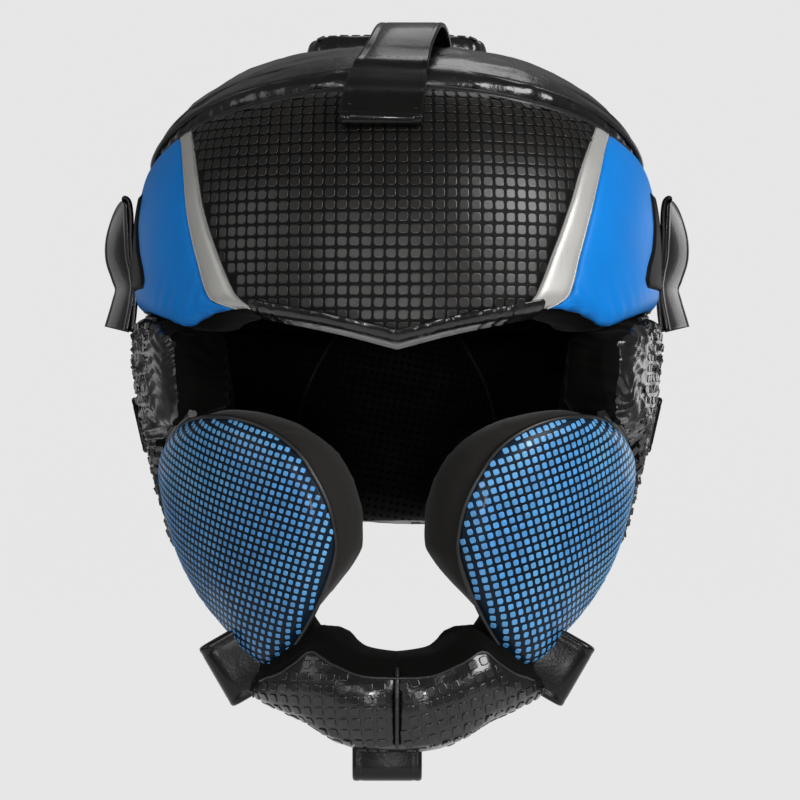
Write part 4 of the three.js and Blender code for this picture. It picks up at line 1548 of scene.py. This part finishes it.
TOP_NARROWING = (-112, -84)  # from its full width to its width behind
# A temple loop's middle line from its tail's inner end, over the top and down to the outer end: outwards,
# level, and how far the strap's outer face is turned to the front.
TEMPLE_LOOP = {
    "x": (
        110.4, 108.2, 107.3, 107.2, 107.4, 107.5, 108.2, 109.4,
        110.4, 111.7, 112.5, 112.2, 110.4, 109.4, 110.4, 113,
    ),
    "z": (-100, -89, -82.5, -74, -64, -54, -49.4, -48.2, -49.8, -56, -64, -71, -78, -83, -89, -99.6),
    "turn": (26, 20, 14, 10, 8, 8, 8, 10, 14, 21, 27, 28, 26, 23, 25, 28),
}
TEMPLE_LOOP_Y = -17
TEMPLE_LOOP_POINTS = 110
TEMPLE_STITCHES = (0.18, 0.86)
# The black patch under a temple loop: the angles of its front edge on either side, by level.
PATCH = {
    "z": (-85, -82, -77, -70, -60, -46.5),
    "right": (57.5, 55.5, 57, 61, 64, 65.5),
    "left": (60, 58.5, 60, 64, 67, 68.5),
}
PATCH_END = 89
PATCH_LIFT = 1.1
PATCH_ROUND = 1.0
PATCH_SINK = 0.8
CHIN_SEAT = np.array([57.5, -82, -226.2])
CHIN_REACH = 12.5
CHIN_TURN = 30
CHIN_TAB_SEAT = np.array([-3.6, -106, -254.4])
CHIN_TAB_REACH = 13
FOLD_GAP = 5.5
FOLD_FOOT = 4  # a fold's layers run straight from here
FOLD_TUCK = 7  # how far a fold's ends reach into the pad that they are sewn to


def strap_profile(width, thick):
    """A strap's section: round edges, and a shallow groove where each line of stitches lies."""
    half, round_ = width / 2, thick / 2
    turns = np.linspace(-90, 90, 5) * DEG
    edge = np.stack([half - round_ + round_ * np.cos(turns), round_ * np.sin(turns)], axis=1)
    marks = half - (STITCH_MARGIN + STITCH_GROOVE["half"] * np.array([-1, 0, 1]))
    dips = np.array([0, STITCH_GROOVE["depth"], 0])
    top = np.stack([np.concatenate([marks, -marks[::-1]]), round_ - np.concatenate([dips, dips])], axis=1)
    return np.concatenate([edge, top, -edge, -top])


def frame_along(path, across):
    """Across and normal directions at each point of a path."""
    tangent = unit(np.gradient(path, axis=0))
    across = np.broadcast_to(across, path.shape)
    across = unit(across - tangent * (across * tangent).sum(axis=1, keepdims=True))
    return across, np.cross(tangent, across)


def ribbon(name, path, across, width, thick=STRAP_THICK, share=1.0):
    """A strap of leather along a path, with the direction across it and its share of the full width."""
    across, normal = frame_along(path, across)
    across = across * np.broadcast_to(share, len(path))[:, None]
    section = strap_profile(width, thick)
    points = path[:, None] + across[:, None] * section[None, :, :1] + normal[:, None] * section[None, :, 1:]
    wave = STRAP_WAVE * noise(path, STRAP_GRAIN, seed=8)
    points = points + (normal * wave[:, None])[:, None]
    rows, columns = points.shape[:2]
    faces = grid_faces(rows, columns, 0, wrap=True)
    faces += [tuple(range(columns)), tuple(range((rows - 1) * columns, rows * columns))]
    return mesh_piece(name, points.reshape(-1, 3), faces, "strap_leather")


def margin_lines(path, across, width, lift):
    """Lines of stitches along both edges of a strap, on its given face."""
    across, normal = frame_along(path, across)
    return [path + across * (end * (width / 2 - STITCH_MARGIN)) + normal * lift for end in (-1, 1)]


def cross_line(path, across, width, place, lift):
    """A line of stitches across a strap at a share of its path."""
    across, normal = frame_along(path, across)
    i = int(place * (len(path) - 1))
    t = np.linspace(-1, 1, 12)[:, None] * (width / 2 - STITCH_MARGIN)
    return path[i] + across[i] * t + normal[i] * lift


def facing_lift(path, across, axis, lift):
    """A lift with the sign of the strap's face that looks along an axis, at the middle of its path."""
    _, normal = frame_along(path, across)
    return math.copysign(lift, normal[len(path) // 2, axis])


def top_strap_paths():
    """The strap's path forward over the crown's edge and back under its hanging end, and its upper layer."""
    middle = smooth_curve(np.stack([TOP_STRAP[axis] for axis in "xyz"], axis=1), TOP_POINTS)
    place = np.linspace(0, 1, TOP_POINTS)
    lift = ramp(place, *TOP_DOUBLE)[:, None]
    raised = sum(TOP_RIDGE * np.exp(-(((place - at) / TOP_RIDGE_WIDTH) ** 2)) for at in TOP_RIDGES)[:, None]
    _, normal = frame_along(middle, SIDEWAYS)
    normal = np.where(normal[:, 2:] < 0, -normal, normal)
    upper = middle + normal * (lift * TOP_FOLD / 2 + raised)
    lower = (middle - normal * lift * TOP_FOLD / 2)[:TOP_BACK:-1]
    tip = middle[-1] + unit(middle[-1] - middle[-2]) * TOP_TIP
    return smooth_curve(np.concatenate([upper[::3], upper[-1:], [tip], lower[::6]]), 150), upper


def top_strap(spacing):
    """The strap over the crown's edge, stitched across its double end."""
    path, upper = top_strap_paths()
    share = np.interp(path[:, 1], TOP_NARROWING, (1.0, TOP_STRAP_REAR))
    strap = ribbon("top_strap_leather", path, SIDEWAYS, TOP_STRAP_WIDTH, share=share)
    lift = facing_lift(upper, SIDEWAYS, 2, STITCH_LIFT)
    lines = [cross_line(upper, SIDEWAYS, TOP_STRAP_WIDTH, place, lift) for place in TOP_STITCHES]
    absorb(strap, stitching("top_strap_stitches", lines, spacing))
    declare(strap, "strap_black", "top_strap")


def temple_strap(name, side, spacing):
    """A loop of strap at the temple, twisted a little to the front, with its two tails."""
    rows = np.stack([TEMPLE_LOOP[key] for key in ("x", "z", "turn")], axis=1)
    x, z, turn = smooth_curve(rows, TEMPLE_LOOP_POINTS).T
    path = np.stack([side * x, np.full_like(x, TEMPLE_LOOP_Y), z], axis=1)
    across = np.stack([side * np.sin(turn * DEG), np.cos(turn * DEG), 0 * turn], axis=1)
    loop = ribbon(f"temple_strap_{name}", path, across, STRAP_WIDTH)
    lines = [
        cross_line(path, across, STRAP_WIDTH, place, lift)
        for place in TEMPLE_STITCHES
        for lift in (-STITCH_LIFT, STITCH_LIFT)
    ]
    absorb(loop, stitching(f"temple_stitches_{name}", lines, spacing))
    declare(loop, "strap_black", f"temple_loop_{name}")


def temple_patch(name, side):
    """The leather that a temple loop is sewn to."""
    foot, head = PATCH["z"][0], PATCH["z"][-1]
    z = np.linspace(foot, head, 24)[:, None]
    front = np.interp(z, PATCH["z"], PATCH[name])
    t = np.linspace(0, 1, 30)[None]
    angle = front + (PATCH_END - front) * t
    edge = np.minimum(np.minimum(t * (PATCH_END - front) * ARC_PER_DEGREE, z - foot), head - z)
    share = forehead_share(angle, z)
    outer = forehead_point(side * angle, share, PATCH_LIFT - edge_dip(edge, PATCH_ROUND))
    inner = forehead_point(side * angle, share, -PATCH_SINK)
    # the patch takes the grooves' leather, painted darker than the pads as shade under the loop
    declare(slab(f"temple_patch_{name}", outer, inner, "shaded_groove_leather"), "strap_black")


def fold_path(reach):
    """A strap folded flat on itself: to either side and along its reach."""
    half = FOLD_GAP / 2 + STRAP_THICK / 2
    turns = np.linspace(180, 0, 9) * DEG
    middle = reach - half - STRAP_THICK / 2
    bend = np.stack([half * np.cos(turns), middle + half * np.sin(turns)], axis=1)
    ends = [(half, FOLD_FOOT), (half, -FOLD_TUCK)]
    return smooth_curve([(-a, b) for a, b in ends[::-1]] + bend.tolist() + ends, 56)


def strap_fold(name, node, seat, outwards, across, reach, spacing):
    """A short fold of strap standing outwards from its seat."""
    flat_path = fold_path(reach)
    path = seat + flat_path[:, :1] * BACKWARDS + flat_path[:, 1:] * outwards
    strap = ribbon(name, path, across, STRAP_WIDTH)
    lines = margin_lines(path, across, STRAP_WIDTH, STITCH_LIFT)
    lines += margin_lines(path, across, STRAP_WIDTH, -STITCH_LIFT)
    absorb(strap, stitching(f"{name}_stitches", lines, spacing))
    declare(strap, "strap_black", node)


def chin_strap(name, side, spacing):
    """The fold of strap at the jaw, beside the chin bar."""
    sin, cos = math.sin(CHIN_TURN * DEG), math.cos(CHIN_TURN * DEG)
    seat, outwards, across = np.array([CHIN_SEAT, (cos, 0, -sin), (sin, 0, cos)]) * (side, 1, 1)
    strap_fold(f"chin_strap_{name}", f"chin_loop_{name}", seat, outwards, across, CHIN_REACH, spacing)


def nape_strap(spacing):
    """The strap round the back, stitched along both edges."""
    angle = np.linspace(NAPE_STRAP["from"], NAPE_STRAP["to"], 150)
    middle = (NAPE_STRAP["bottom"] + NAPE_STRAP["top"]) / 2
    width = NAPE_STRAP["top"] - NAPE_STRAP["bottom"]
    up = unit(shell_point(angle, middle + 1) - shell_point(angle, middle - 1))
    path = on_shell(angle, middle, NAPE_STRAP["gap"] + NAPE_STRAP["thick"] / 2 + NAPE_STRAP["swell"])
    strap = ribbon("nape_strap_leather", path, up, width, NAPE_STRAP["thick"])
    lift = facing_lift(path, up, 1, STITCH_LIFT + (NAPE_STRAP["thick"] - STRAP_THICK) / 2)
    absorb(strap, stitching("nape_strap_stitches", margin_lines(path, up, width, lift), spacing))
    declare(strap, "strap_black", "nape_strap")


class HEADGEAR_OT_straps(bpy.types.Operator):
    """Fold the straps: top strap, temple and chin loops, chin tab and nape strap"""

    bl_idname = "headgear.straps"
    bl_label = "Straps and Loops"

    def execute(self, context):
        spacing = context.scene.headgear_sizes.stitch
        top_strap(spacing)
        for name, side in SIDES.items():
            temple_strap(name, side, spacing)
            temple_patch(name, side)
            chin_strap(name, side, spacing)
        strap_fold("chin_tab_strap", "chin_tab", CHIN_TAB_SEAT, DOWN, SIDEWAYS, CHIN_TAB_REACH, spacing)
        nape_strap(spacing)
        return {"FINISHED"}


# Seams: each one's radius at the piping's default size, and how far its middle lies above the shell.
SEAMS = {
    "crown_seam": (2.4, -3.6),
    "crown_ridge": (1.3, 0.1),
    "back_seam": (2.2, -4.2),
    "brow_seam": (1.0, -5.0),
    "temple_seam": (1.9, -5.4),
    "nape_seam": (1.9, -4.6),
    "jaw_seam": (1.9, -5.5),
}
CROWN_GAP = 0.3  # the crown's seam lies this far above the pads below it
CROWN_RIDGES = (5.5, 12)  # above that seam
BROW_SEAM = (62, 91)
BROW_SEAM_DROP = 0.6
REAR_SEAM = (92.5, 267.5)
BACK_SEAM_DROP = 0.4
TEMPLE_SEAM_ANGLE = 92.2
TEMPLE_SEAM = (-94, -42)
NAPE_SEAM_ANGLE = 124.8
NAPE_SEAM = (-186, -97)
JAW_SEAM_SHIFT = (0.4, 0.5)
REAR_BAND = (88, 272)
BAND_HALF = 9
BAND_DEPTHS = (-7, -9)
LINING_SEAM = ((27, -98), (33, -108), (39, -120), (43, -133), (44, -146))
LINING_SEAM_PROUD = 0.2
CHIN_SEAM = (-253, -225)
CHIN_SEAM_ANGLE = 2.2  # where the right half's face is looked at for the seam's depth
CHIN_SEAM_SINK = 0.9
CHIN_PIPING_ENDS = (1.5, 27)
CHIN_PIPING_LIFT = 0.1
CHIN_RADII = {"chin_seam": 0.9, "chin_piping": 0.6}  # shares of the piping
CHEEK_PIPING = {"inset": 1.1, "lift": 0.35}


def crown_edge(angle):
    """The level of the seam round the crown."""
    behind = np.abs(angle) > FOREHEAD_END
    return np.where(behind, BACK_TOP, forehead_edges(angle)[1]) + CROWN_GAP


def both_sides(angle, level):
    """A line of the right side, and the same on the left."""
    angle, level = np.broadcast_arrays(angle, level)
    return [(side * angle, level) for side in SIDES.values()]


def seam_paths():
    """The seams between pads, as the angles and levels of lines on the shell."""
    around = np.linspace(-180, 180, 181)
    brow = np.linspace(*BROW_SEAM, 30)
    jaw, jaw_level = smooth_curve(flat(JAW_SEAM), 50).T
    edge = crown_edge(around)
    return {
        "crown_seam": [(around, edge)],
        "crown_ridge": [(around, edge + rise) for rise in CROWN_RIDGES],
        "back_seam": [(np.linspace(*REAR_SEAM, 90), BACK_BOTTOM - BACK_SEAM_DROP)],
        "brow_seam": both_sides(brow, forehead_edges(brow)[0] - BROW_SEAM_DROP),
        "temple_seam": both_sides(TEMPLE_SEAM_ANGLE, np.linspace(*TEMPLE_SEAM, 24)),
        "nape_seam": both_sides(NAPE_SEAM_ANGLE, np.linspace(*NAPE_SEAM, 36)),
        "jaw_seam": both_sides(jaw / ARC_PER_DEGREE + JAW_SEAM_SHIFT[0], jaw_level + JAW_SEAM_SHIFT[1]),
    }


def drape(piece, angle, z, lift):
    """Points where the shell's normals through a line meet a piece's face, raised by lift."""
    tree = ray_tree(piece)
    found = []
    for start, out in zip(on_shell(angle, z, RAY_START), shell_normal(angle, z)):
        place, _, _, _ = tree.ray_cast(Vector(start * MM), Vector(-out), RAY_REACH * MM)
        if place is not None:
            found.append(np.array(place) / MM + out * lift)
    return np.array(found)


def chin_paths():
    """The chin bar's middle seam, and the line between its front and its lining."""
    right, left = (bpy.data.objects[f"chin_bar_{name}_leather"] for name in SIDES)
    upright = np.linspace(*CHIN_SEAM, 20)
    middle = drape(right, np.full_like(upright, CHIN_SEAM_ANGLE), upright, -CHIN_SEAM_SINK)
    angle = np.linspace(*CHIN_PIPING_ENDS, 30)
    level = chin_line(angle)
    on_right = drape(right, angle, level, CHIN_PIPING_LIFT)
    on_left = drape(left, -angle, level, CHIN_PIPING_LIFT)
    line = np.concatenate([on_left[::-1], on_right])
    return {"chin_seam": [middle * np.array([0, 1, 1])], "chin_piping": [line]}


def band(name, angle, level):
    """A strip of lining inside a seam, in the lining that is painted dark as shade."""
    z = level + np.linspace(-BAND_HALF, BAND_HALF, 5)[:, None]
    outer, inner = (on_shell(angle[None], z, depth) for depth in BAND_DEPTHS)
    return slab(name, outer, inner, "shaded_inner_lining")


def lining_paths():
    """Seams of the lining inside the back, found by looking in from the front."""
    trees = [ray_tree(bpy.data.objects[f"{node}_leather"]) for node in ("back_pad", "nape_pad")]
    paths = []
    for side in SIDES.values():
        found = []
        for x, z in smooth_curve(LINING_SEAM, 24):
            start = Vector((side * x * MM, 0, z * MM))
            hits = [tree.ray_cast(start, Vector(BACKWARDS))[0] for tree in trees]
            near = min((hit.y for hit in hits if hit is not None), default=None)
            if near is not None:
                found.append((side * x, near / MM - LINING_SEAM_PROUD, z))
        paths.append(np.array(found))
    return paths


class HEADGEAR_OT_seams(bpy.types.Operator):
    """Run piping along the seams and strips of lining inside them"""

    bl_idname = "headgear.seams"
    bl_label = "Piping and Bands"

    def execute(self, context):
        width = context.scene.headgear_sizes.piping
        for name, lines in seam_paths().items():
            radius, lift = SEAMS[name]
            paths = [on_shell(angle, level, lift) for angle, level in lines]
            declare(piping(name, paths, radius / PIPING_RADIUS * width), "gloss_black")
        around = np.linspace(-179.9, 179.9, 120)
        declare(band("back_band", np.linspace(*REAR_BAND, 90), BACK_BOTTOM), "lining_black")
        declare(band("crown_band", around, crown_edge(around)), "lining_black")
        declare(piping("lining_seams", lining_paths(), width), "lining_black")
        for name, lines in chin_paths().items():
            declare(piping(name, lines, CHIN_RADII[name] * width), "gloss_black")
        rim = cheek_ring(CHEEK_PIPING["inset"], 0, CHEEK_PIPING["lift"])
        ring = np.concatenate([rim, rim[:1]])
        for name, points in zip(SIDES, (ring, mirrored(ring))):
            declare(piping(f"cheek_piping_{name}", [points], width), "gloss_black")
        return {"FINISHED"}


# Stage, in metres
FLOOR_LEVEL = -0.325
FLOOR_CORE = 0.02  # radius of the one face at the floor's middle
FLOOR_MIDDLE = 0.4
FLOOR_RADIUS = 2.6
BACKDROP_HEIGHT = 3.2
COVE = 1.2
SHEET_TURNS = 64
CAMERA_PLACE = (0, -1.0, -0.128)
CAMERA_LENS = 109.8
CAMERA_SENSOR = 36
CAMERA_SHIFT = 0.00375
LIGHT_TARGET = (0, 0, -0.12)
LIGHTS = {  # place, width and height, and watts
    "key": ((0.95, -0.85, 0.35), (0.6, 0.6), 12.5),
    "fill": ((-1.2, -0.7, 0.1), (0.7, 0.7), 2.4),
    "front": ((0.04, -1.35, -0.22), (0.12, 0.12), 2.8),
    "front_left": ((-0.43, -1.35, -0.02), (0.3, 0.3), 1.6),
    "top": ((0.15, 0.7, 0.95), (0.5, 0.5), 1.2),
    "rim_right": ((0.8, 1.0, -0.05), (0.6, 0.4), 1.0),
    "rim_left": ((-0.8, 1.0, -0.05), (0.6, 0.4), 0.3),
}
WORLD_STRENGTH = 0.15


def photo_camera(scene):
    """The camera at the photograph's place."""
    data = bpy.data.cameras.new("photo_camera")
    data.lens = CAMERA_LENS
    data.sensor_width = CAMERA_SENSOR
    data.shift_x = CAMERA_SHIFT
    scene.camera = link("photo_camera", data)
    scene.camera.location = CAMERA_PLACE
    scene.camera.rotation_euler = (math.pi / 2, 0, 0)


def soft_light(name, place, spread, watts):
    """A light's panel that looks at the headgear."""
    data = bpy.data.lights.new(name, "AREA")
    data.shape = "RECTANGLE"
    data.size, data.size_y = spread
    data.energy = watts
    lamp = link(name, data)
    lamp.location = place
    lamp.rotation_euler = (Vector(LIGHT_TARGET) - Vector(place)).to_track_quat("-Z", "Y").to_euler()
    lamp.visible_camera = False


def round_sheet(name, radii, levels, closed):
    """A sheet round the upright axis, from rings of these radii and levels, closed in the middle or open."""
    turns = np.linspace(0, 2 * math.pi, SHEET_TURNS, endpoint=False)
    points = [(r * math.cos(t), r * math.sin(t), level) for r, level in zip(radii, levels) for t in turns]
    faces = grid_faces(len(radii), SHEET_TURNS, 0, wrap=True)
    if closed:
        faces = [tuple(range(SHEET_TURNS))] + faces
    mesh = bpy.data.meshes.new(name)
    mesh.from_pydata(points, [], faces)
    dress(mesh, ["pale_floor"])
    sheet = link(name, mesh)
    sheet.visible_diffuse = False
    return sheet


def lay_floor():
    """A floor whose middle glossy faces reflect, curving up into a backdrop on every side."""
    round_sheet("floor", (FLOOR_CORE, FLOOR_MIDDLE), (FLOOR_LEVEL, FLOOR_LEVEL), True)
    turn = np.linspace(0, 90, 16) * DEG
    flat_radii = np.linspace(FLOOR_MIDDLE, FLOOR_RADIUS, 12)[:-1]
    radii = np.concatenate([flat_radii, FLOOR_RADIUS + COVE * np.sin(turn), [FLOOR_RADIUS + COVE]])
    rises = np.concatenate([0 * flat_radii, COVE - COVE * np.cos(turn), [BACKDROP_HEIGHT]])
    round_sheet("backdrop", radii, rises + FLOOR_LEVEL, False).visible_glossy = False


class HEADGEAR_OT_stage(bpy.types.Operator):
    """Set the camera, the lights, the floor and its backdrop"""

    bl_idname = "headgear.stage"
    bl_label = "Stage"

    def execute(self, context):
        scene = context.scene
        photo_camera(scene)
        lay_floor()
        for name, (place, spread, watts) in LIGHTS.items():
            soft_light(name, place, spread, watts)
        scene.world = bpy.data.worlds.new("studio")
        scene.world.use_nodes = True
        shader = scene.world.node_tree.nodes["Background"]
        shader.inputs["Color"].default_value = (1, 1, 1, 1)
        shader.inputs["Strength"].default_value = WORLD_STRENGTH
        scene.view_settings.view_transform = "Standard"
        return {"FINISHED"}


STEPS = (
    HEADGEAR_OT_stage,
    HEADGEAR_OT_pads,
    HEADGEAR_OT_forehead,
    HEADGEAR_OT_cheeks,
    HEADGEAR_OT_straps,
    HEADGEAR_OT_seams,
)


class HEADGEAR_PT_panel(bpy.types.Panel):
    """Lists the headgear's steps, sizes and colours"""

    bl_idname = "HEADGEAR_PT_panel"
    bl_label = "Sparring Headgear"
    bl_space_type = "VIEW_3D"
    bl_region_type = "UI"
    bl_category = "Headgear"

    def draw(self, context):
        for step in STEPS:
            self.layout.operator(step.bl_idname)
        for group in (context.scene.headgear_sizes, context.scene.headgear_colours):
            box = self.layout.box()
            for name in group.__annotations__:
                box.prop(group, name)


CLASSES = (HeadgearSizes, HeadgearColours, *STEPS, HEADGEAR_PT_panel)


def register():
    for item in CLASSES:
        bpy.utils.register_class(item)
    bpy.types.Scene.headgear_sizes = PointerProperty(type=HeadgearSizes)
    bpy.types.Scene.headgear_colours = PointerProperty(type=HeadgearColours)


def unregister():
    del bpy.types.Scene.headgear_colours
    del bpy.types.Scene.headgear_sizes
    for item in reversed(CLASSES):
        bpy.utils.unregister_class(item)


def main():
    register()
    for step in STEPS:
        group, name = step.bl_idname.split(".")
        getattr(getattr(bpy.ops, group), name)()


if __name__ == "__main__":
    main()
